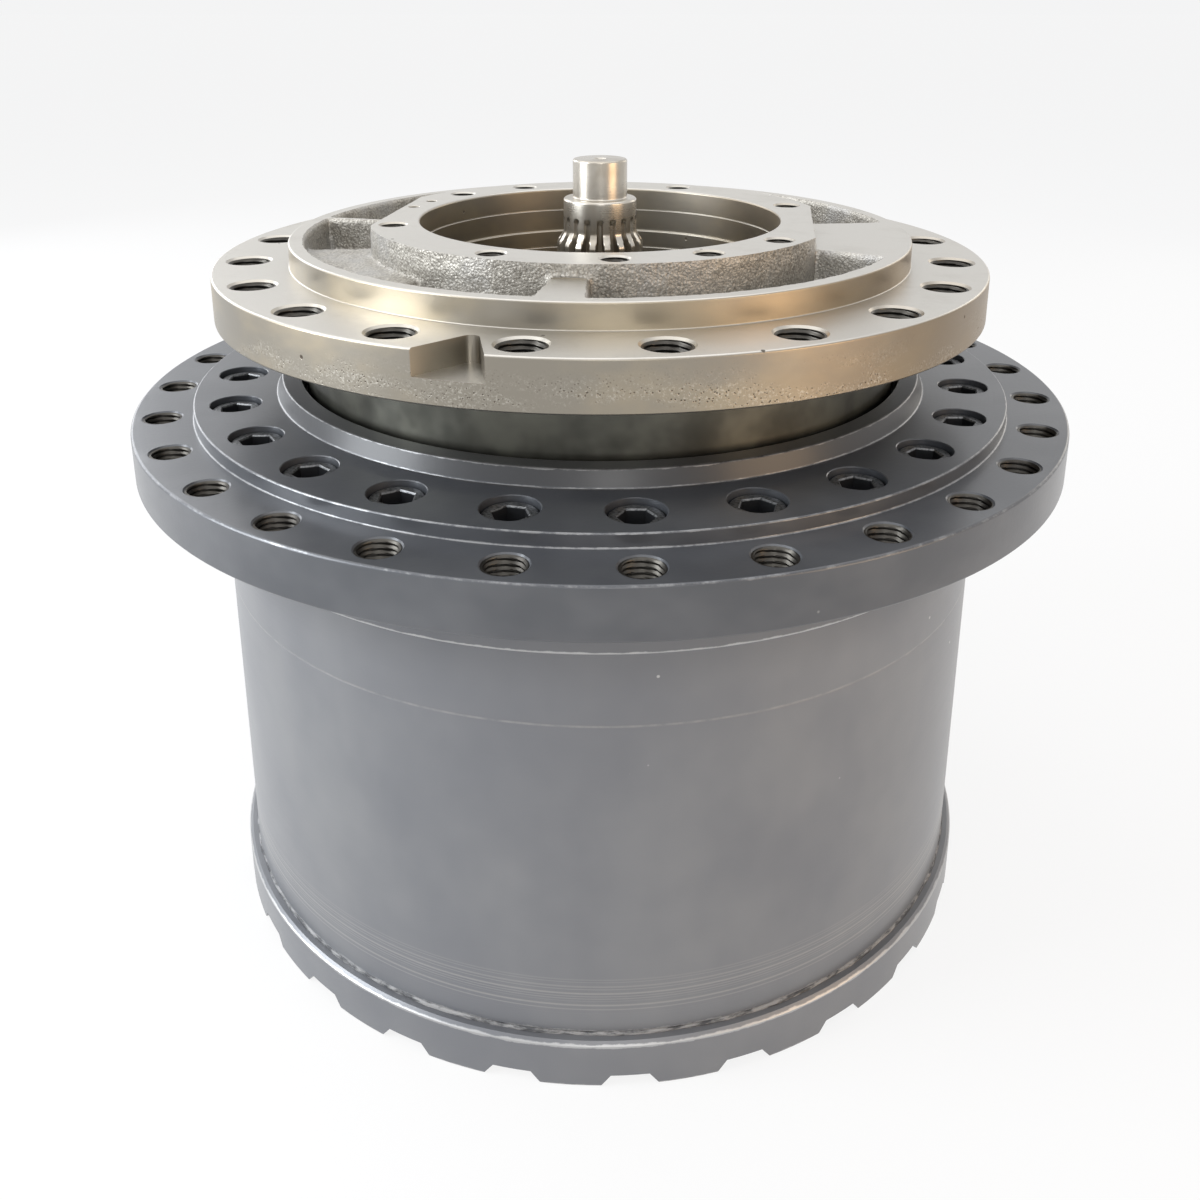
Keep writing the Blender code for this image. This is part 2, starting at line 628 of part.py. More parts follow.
def build_cover():
    pad_in = cover_r - PAD_WIDTH
    cover = turned("end_cover", [
        (0, COVER_RECESS), (pad_in - PAD_SLOPE, COVER_RECESS), (pad_in, 0), (cover_r, 0),
        (cover_r, joint_z - COVER_CHAMFER), (cover_r - COVER_CHAMFER, joint_z),
        (cover_spigot_r, joint_z), (cover_spigot_r, joint_z + COVER_SPIGOT),
        (cover_spigot_r - COVER_SPIGOT_WALL, joint_z + COVER_SPIGOT),
        (cover_spigot_r - COVER_SPIGOT_WALL - COVER_SPIGOT_SLOPE, cover_floor_z),
        (0, cover_floor_z),
    ], VISIBLE_SEGMENTS)
    combine(cover, cover_notches(pad_in - NOTCH_RUNOUT))
    angles = [radians(angle) for angle in PLUG_ANGLES.values()]
    return combine(cover, pegs("plug_holes", angles, PLUG_CIRCLE_R, PLUG_R + GAP,
                               COVER_RECESS - OVERCUT, cover_floor_z + OVERCUT,
                               PIN_SEGMENTS))


def cover_notches(inner_r):
    """A cutter: one trapezoid bar along the radius for each notch between two pads."""
    flare = (NOTCH_MOUTH - NOTCH_ROOF) / 2 / NOTCH_DEPTH
    bm = bmesh.new()
    for i in range(NOTCH_COUNT):
        angle = radians(NOTCH_ANGLE) + 2 * pi * i / NOTCH_COUNT
        rings = []
        for radius in (inner_r, cover_r + OVERCUT):
            ring = []
            for side, height in ((-1, -OVERCUT), (1, -OVERCUT), (1, NOTCH_DEPTH),
                                 (-1, NOTCH_DEPTH)):
                y = side * (NOTCH_ROOF / 2 + flare * (NOTCH_DEPTH - height))
                ring.append(bm.verts.new(((radius * cos(angle) - y * sin(angle)) * MM,
                                          (radius * sin(angle) + y * cos(angle)) * MM,
                                          height * MM)))
            rings.append(ring)
        for a in range(4):
            b = (a + 1) % 4
            bm.faces.new((rings[0][a], rings[0][b], rings[1][b], rings[1][a]))
        bm.faces.new(rings[0])
        bm.faces.new(rings[1])
    return object_from("notches", bm)


def build_screw():
    """Socket-head screw at the start angle of its circle; the copies share its mesh."""
    angle = radians(SCREW_ANGLE)
    centre = polar(screw_circle_r, angle)
    head_top = pilot_top - SCREW_SUNK
    seat_z = head_top - SCREW_HEAD
    screw = pegs("hub_screw", [angle], screw_circle_r, SCREW_HEAD_R, seat_z, head_top)
    shank = pegs("shank", [angle], screw_circle_r, SCREW_R, seat_z - SCREW_LENGTH,
                 seat_z + OVERCUT, SMALL_HOLE_SEGMENTS)
    combine(screw, shank, "UNION")
    socket = prism("socket", circle(HEX_KEY / 2 / cos(pi / 6), 6, centre, angle),
                   head_top - HEX_DEPTH, head_top + OVERCUT)
    return combine(screw, socket)


def place_screws(material, body):
    first = finish(build_screw(), material, body)
    for i in range(SCREW_COUNT):
        copy = bpy.data.objects.new(f"hub_screw_{i + 1:02d}", first.data)
        bpy.context.scene.collection.objects.link(copy)
        copy.rotation_euler.z = 2 * pi * i / SCREW_COUNT
        copy.parent = body
    bpy.data.objects.remove(first)


# Bearings and seal

def build_bearing(side, z0):
    """Angular contact ball bearing: inner race, outer race and cage with its balls."""
    z1 = z0 + BEARING_WIDTH
    low, high = (z0, z1) if side == "upper" else (z1, z0)
    inner_end = {low: RACE_HIGH, high: RACE_LOW}
    outer_end = {low: RACE_LOW, high: RACE_HIGH}
    inner = turned(f"bearing_inner_{side}", [
        (bearing_bore_r, z0), (bearing_bore_r + inner_end[z0], z0),
        (bearing_bore_r + inner_end[z1], z1), (bearing_bore_r, z1)])
    outer = turned(f"bearing_outer_{side}", [
        (bearing_outer_r, z0), (bearing_outer_r - outer_end[z0], z0),
        (bearing_outer_r - outer_end[z1], z1), (bearing_outer_r, z1)])
    return inner, outer, build_cage(side, z0 + CAGE_MARGIN, z1 - CAGE_MARGIN)


def build_cage(side, z0, z1):
    flat = cos(pi / HIDDEN_SEGMENTS)
    race = RACE_HIGH - (RACE_HIGH - RACE_LOW) * CAGE_MARGIN / BEARING_WIDTH
    ball_in = (bearing_bore_r + race + GAP) / flat
    ball_out = (bearing_outer_r - race) * flat - GAP
    outer = []
    for i in range(BALLS):
        middle = 2 * pi * i / BALLS
        for part, waist in ((-LOBE_FOOT, 1), (-LOBE_TIP, 0), (LOBE_TIP, 0), (LOBE_FOOT, 1)):
            angle = middle + part * 2 * pi / BALLS
            outer.append(polar(ball_out - waist * CAGE_WAIST, angle))
    cage = prism(f"ball_cage_{side}", outer, z0, z1)
    bore = circle(ball_in, HIDDEN_SEGMENTS, turn=pi / HIDDEN_SEGMENTS)
    return combine(cage, prism("cage_bore", bore, z0 - OVERCUT, z1 + OVERCUT))


def build_seal(side, direction):
    """Steel face ring and the rubber ring behind it, on one side of the seal faces."""
    face_r = seal_pocket_r - SEAL_LIP
    bore_r = seal_core_r + SEAL_BORE_PLAY
    face_z = seal_face_z + direction * GAP / 2
    back_z = face_z + direction * SEAL_RING_HEIGHT
    ring = turned(f"seal_ring_{side}", [
        (bore_r, face_z), (face_r, face_z), (face_r - SEAL_TAPER, back_z), (bore_r, back_z)])
    rubber_z = face_z + direction * RUBBER_HEIGHT
    rubber_r = seal_pocket_r - GAP - RUBBER_R
    rubber = turned(f"seal_rubber_{side}", [
        (rubber_r - RUBBER_R, rubber_z), (rubber_r, rubber_z - RUBBER_R),
        (rubber_r + RUBBER_R, rubber_z), (rubber_r, rubber_z + RUBBER_R)])
    return ring, rubber


# Planet stages

def build_planet(name, teeth, centre_r, angle, z0, z1, pin_r):
    centre = polar(centre_r, angle)
    gear = outer_gear(name, teeth, z0, z1, planet_turn(angle, teeth), centre)
    bore_r = (pin_r + GAP) / cos(pi / PIN_SEGMENTS)
    return combine(gear, prism("bore", circle(bore_r, PIN_SEGMENTS, centre),
                               z0 - OVERCUT, z1 + OVERCUT))


def build_pin(name, centre_r, angle, pin_r, z0, z1):
    return prism(name, circle(pin_r, PIN_SEGMENTS, polar(centre_r, angle)), z0, z1)


def cut_pin_holes(plate, centre_r, angles, pin_r, z0, z1):
    for angle in angles:
        outline = circle(pin_r + GAP, PIN_SEGMENTS, polar(centre_r, angle))
        combine(plate, prism("pin_hole", outline, z0 - OVERCUT, z1 + OVERCUT))


def build_input_carrier():
    """Three-lobed plate over the input planets, with the output sun held in its bore."""
    outline = []
    middle_r = input_centre_r + INPUT_PLATE_EDGE - INPUT_PLATE_WAIST / 2
    for i in range(HIDDEN_SEGMENTS):
        angle = INPUT_ANGLES[0] + 2 * pi * i / HIDDEN_SEGMENTS
        wave = cos(PLANET_COUNT * (angle - INPUT_ANGLES[0]))
        outline.append(polar(middle_r + INPUT_PLATE_WAIST / 2 * wave, angle))
    plate = prism("input_carrier", outline, input_plate_z, input_plate_top)
    bore = circle(sun_hub_r + GAP, HIDDEN_SEGMENTS)
    combine(plate, prism("bore", bore, input_plate_z - OVERCUT, input_plate_top + OVERCUT))
    cut_pin_holes(plate, input_centre_r, INPUT_ANGLES, INPUT_PIN_R, input_plate_z,
                  input_plate_top)
    return plate


def build_output_carrier():
    """Cage fixed on the spindle: two plates joined by a post between each two planets."""
    bore_r = SPLINE_BOSS_R + GAP
    cage = turned("output_carrier", [
        (bore_r, output_upper_z), (output_plate_r, output_upper_z),
        (output_plate_r, output_upper_top), (bore_r, output_upper_top)])
    lower_bore = output_sun_tip_r + SUN_BORE_PLAY
    lower = turned("lower", [
        (lower_bore, output_lower_z), (output_plate_r, output_lower_z),
        (output_plate_r, output_lower_top), (lower_bore, output_lower_top)])
    post_circle_r = output_plate_r - POST_R - POST_INSET
    posts = [angle + pi / PLANET_COUNT for angle in OUTPUT_ANGLES]
    combine(lower, pegs("posts", posts, post_circle_r, POST_R, output_lower_top - OVERCUT,
                        output_upper_z + OVERCUT, PIN_SEGMENTS), "UNION")
    combine(cage, lower, "UNION")
    cut_pin_holes(cage, output_centre_r, OUTPUT_ANGLES, OUTPUT_PIN_R, output_lower_z,
                  output_upper_top)
    return cage


def build_output_sun():
    turn = sun_turn(OUTPUT_ANGLES[0], OUTPUT_SUN_TEETH, output_planet_teeth)
    teeth_z = input_plate_top + SUN_TEETH_LIFT
    teeth_top = output_planet_top + SUN_OVERLAP
    sun = outer_gear("output_sun", OUTPUT_SUN_TEETH, teeth_z, teeth_top, turn)
    hub = prism("hub_of_sun", circle(sun_hub_r, HIDDEN_SEGMENTS), input_plate_z + GAP,
                teeth_z + OVERCUT)
    combine(sun, hub, "UNION")
    bore = circle(SHAFT_R + SUN_BORE_PLAY, PIN_SEGMENTS)
    return combine(sun, prism("bore", bore, input_plate_z - OVERCUT, teeth_top + OVERCUT))


def build_sun_shaft():
    """Long shaft from the motor's spline down to the input sun cut on its end."""
    shoulder_z = shaft_top - SHOULDER_DROP
    groove_z = shaft_top - SPLINE_RUNOUT
    tooth_z = groove_z - SPLINE_FLARE
    shaft = turned("sun_shaft", [
        (0, input_planet_z), (SHAFT_R, input_planet_z), (SHAFT_R, groove_z - OVERCUT),
        (SHOULDER_R, groove_z - OVERCUT), (SHOULDER_R, shoulder_z), (NOSE_R, shoulder_z),
        (NOSE_R, shaft_top - NOSE_CHAMFER), (NOSE_R - NOSE_CHAMFER, shaft_top),
        (0, shaft_top)], SHAFT_SEGMENTS)
    full = spline_outline(SPLINE_R)
    shallow = spline_outline(SHOULDER_R)
    spline = loft("spline", [(full, tooth_z - SPLINE_LENGTH), (full, tooth_z),
                             (shallow, groove_z)])
    combine(shaft, spline, "UNION")
    turn = sun_turn(INPUT_ANGLES[0], INPUT_SUN_TEETH, input_planet_teeth)
    sun = outer_gear("sun", INPUT_SUN_TEETH, input_planet_z - GAP / 3,
                     input_planet_top + INPUT_SUN_OVERLAP, turn)
    return combine(shaft, sun, "UNION")


def spline_outline(tip_r):
    outline = []
    pitch = 2 * pi / SPLINE_TEETH
    for i in range(SPLINE_TEETH):
        for radius, part in ((SPLINE_ROOT_R, -SPLINE_FOOT), (tip_r, -SPLINE_TIP),
                             (tip_r, SPLINE_TIP), (SPLINE_ROOT_R, SPLINE_FOOT)):
            outline.append(polar(radius, (i + part) * pitch))
    return outline


# The whole drive

def make_body(name):
    body = bpy.data.objects.new(name, None)
    bpy.context.scene.collection.objects.link(body)
    return body


def build_fixed_side(steel, iron, seal_steel, rubber):
    body = make_body("spindle_body")
    finish(build_spindle(), iron, body)
    finish(build_nut(), steel, body)
    finish(build_output_carrier(), steel, body)
    for i, angle in enumerate(OUTPUT_ANGLES):
        pin = build_pin(f"output_pin_{i + 1}", output_centre_r, angle, OUTPUT_PIN_R,
                        output_lower_z + GAP, output_upper_top - GAP)
        finish(pin, steel, body)
    ring, toric = build_seal("upper", 1)
    finish(ring, seal_steel, body)
    finish(toric, rubber, body)
    return body


def build_turning_side(paint, drum_paint, screw_steel, seal_steel, rubber, brass):
    body = make_body("hub_body")
    finish(build_hub(), paint, body)
    finish(build_ring_gear(), drum_paint, body)
    finish(build_cover(), drum_paint, body)
    place_screws(screw_steel, body)
    ring, toric = build_seal("lower", -1)
    finish(ring, seal_steel, body)
    finish(toric, rubber, body)
    pad = turned("thrust_pad", [(0, cover_floor_z + GAP), (THRUST_PAD_R, cover_floor_z + GAP),
                                (THRUST_PAD_R, thrust_z), (0, thrust_z)], PIN_SEGMENTS)
    finish(pad, brass, body)
    for name, angle in PLUG_ANGLES.items():
        plug = pegs(name, [radians(angle)], PLUG_CIRCLE_R, PLUG_R, COVER_RECESS + PLUG_SUNK,
                    cover_floor_z, 12)
        finish(plug, screw_steel, body)
    return body


def build_bearings(steel, cage_brass, fixed, turning):
    for side, z0 in (("lower", bearing_z), ("upper", upper_race_z)):
        inner, outer, cage = build_bearing(side, z0)
        finish(inner, steel, fixed)
        finish(outer, steel, turning)
        finish(cage, cage_brass, make_body(f"ball_cage_{side}_body"))


def build_gear_train(steel):
    for i, angle in enumerate(OUTPUT_ANGLES):
        planet = build_planet(f"output_planet_{i + 1}", output_planet_teeth, output_centre_r,
                              angle, output_planet_z, output_planet_top, OUTPUT_PIN_R)
        finish(planet, steel, None, polar(output_centre_r, angle))
    carrier = make_body("input_carrier_body")
    finish(build_output_sun(), steel, carrier)
    finish(build_input_carrier(), steel, carrier)
    for i, angle in enumerate(INPUT_ANGLES):
        pin = build_pin(f"input_pin_{i + 1}", input_centre_r, angle, INPUT_PIN_R,
                        input_planet_z, input_plate_top - GAP)
        finish(pin, steel, carrier)
        planet = build_planet(f"input_planet_{i + 1}", input_planet_teeth, input_centre_r,
                              angle, input_planet_z, input_planet_top, INPUT_PIN_R)
        finish(planet, steel, None, polar(input_centre_r, angle))
    finish(build_sun_shaft(), steel, make_body("sun_shaft_body"))


def build_final_drive():
    clear_scene()
    iron = make_material("machined_iron", (0.45, 0.42, 0.38), 0.36, 0.9)
    paint = make_material("slate_paint", (0.085, 0.092, 0.105), 0.38, 0.25)
    drum_paint = make_material("slate_paint_drum", (0.2, 0.21, 0.225), 0.36, 0.35)
    screw_steel = make_material("black_oxide", (0.03, 0.032, 0.036), 0.42, 0.7)
    steel = make_material("ground_steel", (0.5, 0.49, 0.47), 0.28, 1.0)
    seal_steel = make_material("seal_steel", (0.4, 0.4, 0.41), 0.2, 1.0)
    rubber = make_material("seal_rubber", (0.02, 0.02, 0.02), 0.75, 0.0)
    brass = make_material("cage_brass", (0.6, 0.42, 0.16), 0.35, 1.0)
    fixed = build_fixed_side(steel, iron, seal_steel, rubber)
    turning = build_turning_side(paint, drum_paint, screw_steel, seal_steel, rubber, brass)
    build_bearings(steel, brass, fixed, turning)
    build_gear_train(steel)


build_final_drive()
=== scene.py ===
from math import acos, atan2, ceil, cos, hypot, pi, radians, sin, tan
import bmesh
import bpy
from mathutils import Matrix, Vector, noise


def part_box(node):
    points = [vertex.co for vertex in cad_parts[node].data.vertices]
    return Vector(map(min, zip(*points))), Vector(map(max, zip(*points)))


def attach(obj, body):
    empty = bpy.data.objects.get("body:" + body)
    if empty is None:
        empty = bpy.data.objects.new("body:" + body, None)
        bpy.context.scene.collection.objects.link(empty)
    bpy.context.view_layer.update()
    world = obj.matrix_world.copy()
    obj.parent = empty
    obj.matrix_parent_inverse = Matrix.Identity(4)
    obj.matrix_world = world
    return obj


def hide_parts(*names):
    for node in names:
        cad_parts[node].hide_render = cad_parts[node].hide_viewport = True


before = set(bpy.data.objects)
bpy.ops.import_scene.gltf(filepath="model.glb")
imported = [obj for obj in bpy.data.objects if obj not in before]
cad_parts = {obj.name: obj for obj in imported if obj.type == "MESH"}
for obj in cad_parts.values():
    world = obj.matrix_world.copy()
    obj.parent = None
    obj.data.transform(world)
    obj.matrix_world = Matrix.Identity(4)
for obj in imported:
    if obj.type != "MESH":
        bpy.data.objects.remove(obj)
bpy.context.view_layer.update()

mm = 0.001
gap = 0.3                # between faces that touch
print("frame loaded:", len(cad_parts), "nodes")


# heights in mm, read from the frame
def lowOf(node):
    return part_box(node)[0].z / mm


def topOf(node):
    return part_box(node)[1].z / mm


motorFace = topOf("spindle")
bossTop = topOf("hub")
drumTop = topOf("ring_gear")
drumLow = lowOf("ring_gear")
shaftEnd = topOf("sun_shaft")


# shader maths: a socket that takes part in expressions, and the material that it belongs to
class Link:
    def __init__(self, finish, output):
        self.finish = finish
        self.output = output

    def maths(self, operation, *values):
        return self.finish.add("ShaderNodeMath", {"operation": operation}, dict(enumerate(values)))

    def __add__(self, other):
        return self.maths("ADD", self, other)

    def __radd__(self, other):
        return self.maths("ADD", other, self)

    def __sub__(self, other):
        return self.maths("SUBTRACT", self, other)

    def __rsub__(self, other):
        return self.maths("SUBTRACT", other, self)

    def __mul__(self, other):
        return self.maths("MULTIPLY", self, other)

    def __rmul__(self, other):
        return self.maths("MULTIPLY", other, self)

    def __truediv__(self, other):
        return self.maths("DIVIDE", self, other)

    def __pow__(self, other):
        return self.maths("POWER", self, other)

    def __abs__(self):
        return self.maths("ABSOLUTE", self)

    def most(self, other):
        return self.maths("MAXIMUM", self, other)

    def ramp(self, low, high):            # 0 below low, 1 above high, soft between
        return self.finish.add("ShaderNodeMapRange", {"interpolation_type": "SMOOTHSTEP"},
                               {"Value": self, "From Min": low, "From Max": high})


class Finish:
    def __init__(self, name, **uniform):
        self.material = bpy.data.materials.new(name)
        self.material.use_nodes = True
        self.tree = self.material.node_tree
        self.shader = self.tree.nodes["Principled BSDF"]
        for socket, value in uniform.items():
            self.shader.inputs[socket.replace("_", " ")].default_value = value
        self.x, self.y, self.z = self.place()
        self.radius = (self.x * self.x + self.y * self.y) ** 0.5

    def put(self, socket, value):
        if isinstance(value, Link):
            self.tree.links.new(value.output, socket)
        else:
            socket.default_value = value

    def add(self, kind, settings=None, values=None, output=0):
        node = self.tree.nodes.new(kind)
        for key, value in (settings or {}).items():
            setattr(node, key, value)
        for key, value in (values or {}).items():
            self.put(node.inputs[key], value)
        return Link(self, node.outputs[output])

    def upright(self):                    # 1 on walls, 0 on level faces
        facing = self.add("ShaderNodeTexCoord", output=1)
        return 1 - abs(self.add("ShaderNodeSeparateXYZ", values={0: facing}, output=2)).ramp(0.4, 0.9)

    def place(self):                      # object coordinates in mm
        spot = self.add("ShaderNodeTexCoord", output=3)
        return [self.add("ShaderNodeSeparateXYZ", values={0: spot}, output=i) / mm for i in range(3)]

    def point(self, x, y, z):
        return self.add("ShaderNodeCombineXYZ", values={0: x, 1: y, 2: z})

    def scaled(self, across, along=None):  # grains per mm, across and along the axis
        return self.point(self.x * across, self.y * across, self.z * (along or across))

    def grain(self, spot, detail=3.0, roughness=0.6):
        return self.add("ShaderNodeTexNoise", values={"Vector": spot, "Scale": 1.0, "Detail": detail,
                                                      "Roughness": roughness})

    def turned(self, fineness, drift, detail=3.0, roughness=0.6):  # rings that a lathe tool leaves
        spot = self.point(self.radius * fineness, self.z * fineness, (self.x + self.y) * drift)
        return self.grain(spot, detail, roughness)

    def cells(self, across):              # distance to the nearest of scattered points
        return self.add("ShaderNodeTexVoronoi", values={"Vector": self.scaled(across), "Scale": 1.0})

    def blend(self, share, first, second):
        return self.add("ShaderNodeMix", {"data_type": "RGBA"},
                        {0: share, 6: colour(first), 7: colour(second)}, output=2)

    def relief(self, height, distance):
        values = {"Height": height, "Distance": distance * mm, "Strength": 1.0}
        return self.add("ShaderNodeBump", values=values)

    def broken(self, across):             # uneven edge of the wear, below 0 where the paint is gone
        return (self.grain(self.scaled(across), 4.0, 0.7) - 0.42) * 2.4

    def wear(self, edges, reach, broken):  # 1 on the listed turned edges
        mask = None
        for edgeR, edgeZ in edges:
            off = ((self.radius - edgeR) ** 2 + (self.z - edgeZ) ** 2) ** 0.5
            one = 1 - (off + broken).ramp(reach * 0.5, reach)
            mask = one if mask is None else mask.most(one)
        return mask

    def use(self, **sockets):
        for socket, value in sockets.items():
            self.put(self.shader.inputs[socket.replace("_", " ")], value)
        return self.material


def colour(value):
    return value if isinstance(value, Link) else (*value, 1.0)


# levels and radii on the turned side, from the top down
frameTop = motorFace - 19.25
frameLow = frameTop - 23.5
discTop = motorFace - 6.75
neckLow = frameLow - 49.0
pilotTop = bossTop - 8.25
flangeTop = pilotTop - 6.75
flangeLow = flangeTop - 24.0
screwTop = pilotTop - 2.6
collarLow = drumTop - 26.0
frameR = 205.0
bossBoreR = 164.5
bossR = 174.0
bossFootR = 177.0
pilotR = 219.5
flangeR = 250.0
collarR = 214.0
drumR = 207.75
coverR = 213.0


# finishes: colours, then grains per mm across and along the axis
def bareIron():
    look = {"level": (0.59, 0.57, 0.53), "wall": (0.285, 0.262, 0.222), "gold": (0.40, 0.34, 0.245),
            "frost": (0.72, 0.69, 0.62), "pit": (0.05, 0.035, 0.025), "filmAndWarmReflection": (0.235, 0.165, 0.095),
            "turning": 2.6, "drift": 0.012, "stainAndGoldSheen": (0.011, 0.02), "cloud": (0.035, 0.05), "fine": 0.9,
            "patch": (0.022, 0.09), "pores": 0.62, "dots": 0.042,
            "warmReflectionFrom": 60.0, "warmReflectionTo": 190.0}
    f = Finish("bareIron", Metallic=1.0)
    wall = f.upright()
    turning = f.turned(look["turning"], look["drift"])
    stainAndGoldSheen = f.grain(f.scaled(*look["stainAndGoldSheen"]), 4.0)
    cloud = f.grain(f.scaled(*look["cloud"]), 4.0, 0.65)
    fine = f.grain(f.scaled(look["fine"]), roughness=0.7)
    patch = f.grain(f.scaled(*look["patch"]))
    rim = f.radius.ramp(frameR - 0.8, frameR - 0.2)  # the frame flange's wall, still rough low down
    lowRim = rim * (1 - f.z.ramp(frameLow + 5.0, frameTop - 3.0))
    pores = (1 - f.cells(look["pores"]).ramp(0.13, 0.3)) * patch.ramp(0.42, 0.62) * (lowRim * 0.95 + 0.05)
    dots = f.cells(look["dots"]) + (fine - 0.5) * 0.03
    pits = pores.most(1 - dots.ramp(0.03, 0.05))
    frost = fine.ramp(0.5, 0.66) * patch.ramp(0.4, 0.6) * lowRim
    # walls turn darker and browner towards +x: painted warm reflection on that side
    filmAndWarmReflection = (f.x + cloud * 60).ramp(look["warmReflectionFrom"], look["warmReflectionTo"])
    # walls take a darker, warmer colour than level faces: painted reflection of a dark, warm floor
    base = f.blend(wall, look["level"], look["wall"])
    # gold patches on the walls where this noise is high: painted warm reflection; the same noise varies
    # roughness on every face
    base = f.blend(stainAndGoldSheen.ramp(0.42, 0.62) * wall * 0.65, base, look["gold"])
    base = f.blend(filmAndWarmReflection * wall * 0.7, base, look["filmAndWarmReflection"])
    # random patches of the painted wall reflection tone, on every face
    base = f.blend(cloud.ramp(0.5, 0.8) * 0.22, base, look["wall"])
    base = f.blend(frost * 0.4, base, look["frost"])
    base = f.blend(pits * 0.8, base, look["pit"])
    rough = 0.23 + stainAndGoldSheen * 0.10 + cloud * 0.10 + turning * 0.08 + frost * 0.12 + pits * 0.3
    height = turning * 0.010 + fine * 0.012 + frost * 0.012 - pits * 0.12
    return f.use(Base_Color=base, Roughness=rough, Normal=f.relief(height, 1.0))


def castIron():
    look = {"high": (0.72, 0.69, 0.63), "low": (0.24, 0.225, 0.20), "grey": (0.36, 0.355, 0.35),
            "sand": 1.0, "grit": 0.7, "patch": 0.03}
    f = Finish("castIron", Metallic=0.85)
    sand = f.grain(f.scaled(look["sand"]), roughness=0.55)
    grit = f.cells(look["grit"])
    patch = f.grain(f.scaled(look["patch"]))
    light = (sand * 0.5 + (1 - grit) * 0.2 + patch * 0.4).ramp(0.35, 0.85)
    base = f.blend(light, look["low"], look["high"])
    base = f.blend(patch.ramp(0.45, 0.7) * 0.7, base, look["grey"])
    height = sand * 0.7 - grit * 0.5
    return f.use(Base_Color=base, Roughness=0.40 + sand * 0.22, Normal=f.relief(height, 0.45))


# the neck between the hub boss and the frame flange: a darker copy of the iron, painted shade of that recess
def neckIronShaded():
    look = {"underFrameShade": (0.16, 0.16, 0.135), "deeperShade": (0.09, 0.09, 0.078),
            "turning": 2.0, "drift": 0.01, "cloud": 0.03}
    f = Finish("neckIronShaded", Metallic=0.9)
    turning = f.turned(look["turning"], look["drift"])
    cloud = f.grain(f.scaled(look["cloud"]))
    base = f.blend(cloud.ramp(0.35, 0.7), look["deeperShade"], look["underFrameShade"])
    return f.use(Base_Color=base, Roughness=0.3 + cloud * 0.14, Normal=f.relief(turning, 0.012))


def slatePaint():
    look = {"paint": (0.075, 0.080, 0.090), "thin": (0.115, 0.120, 0.130), "bare": (0.42, 0.42, 0.42),
            "underFrameShade": (0.030, 0.031, 0.034),
            "peel": 0.42, "cloud": (0.014, 0.02), "turning": 1.6, "drift": 0.008, "broken": 0.12,
            "chips": 0.021}
    f = Finish("slatePaint", Coat_Roughness=0.18)
    peel = f.grain(f.scaled(look["peel"]), 2.0, 0.5)
    cloud = f.grain(f.scaled(*look["cloud"]))
    turning = f.turned(look["turning"], look["drift"])
    edges = [(flangeR, flangeTop), (pilotR, pilotTop), (pilotR, flangeTop), (bossR, bossTop),
             (bossFootR, pilotTop), (bossBoreR, bossTop)]
    worn = f.wear(edges, 1.0, f.broken(look["broken"]).most(-0.25))
    chips = 1 - f.cells(look["chips"]).ramp(0.012, 0.026)
    # the boss under the frame flange is painted darker and loses most of its coat and metal: painted shade
    boss = f.z.ramp(pilotTop + 0.4, pilotTop + 1.2)
    base = f.blend(cloud.ramp(0.35, 0.75), look["paint"], look["thin"])
    base = f.blend(boss * 0.8, base, look["underFrameShade"])
    base = f.blend((worn * 0.42).most(chips * 0.9), base, look["bare"])
    rough = 0.30 + cloud * 0.06 + turning * 0.05
    height = peel * 0.035 + turning * 0.012 - chips * 0.06
    return f.use(Base_Color=base, Roughness=rough, Metallic=0.3 - boss * 0.25 + worn.most(chips) * 0.6,
                 Coat_Weight=(0.35 - worn * 0.3) * (1 - boss * 0.7), Normal=f.relief(height, 1.0))


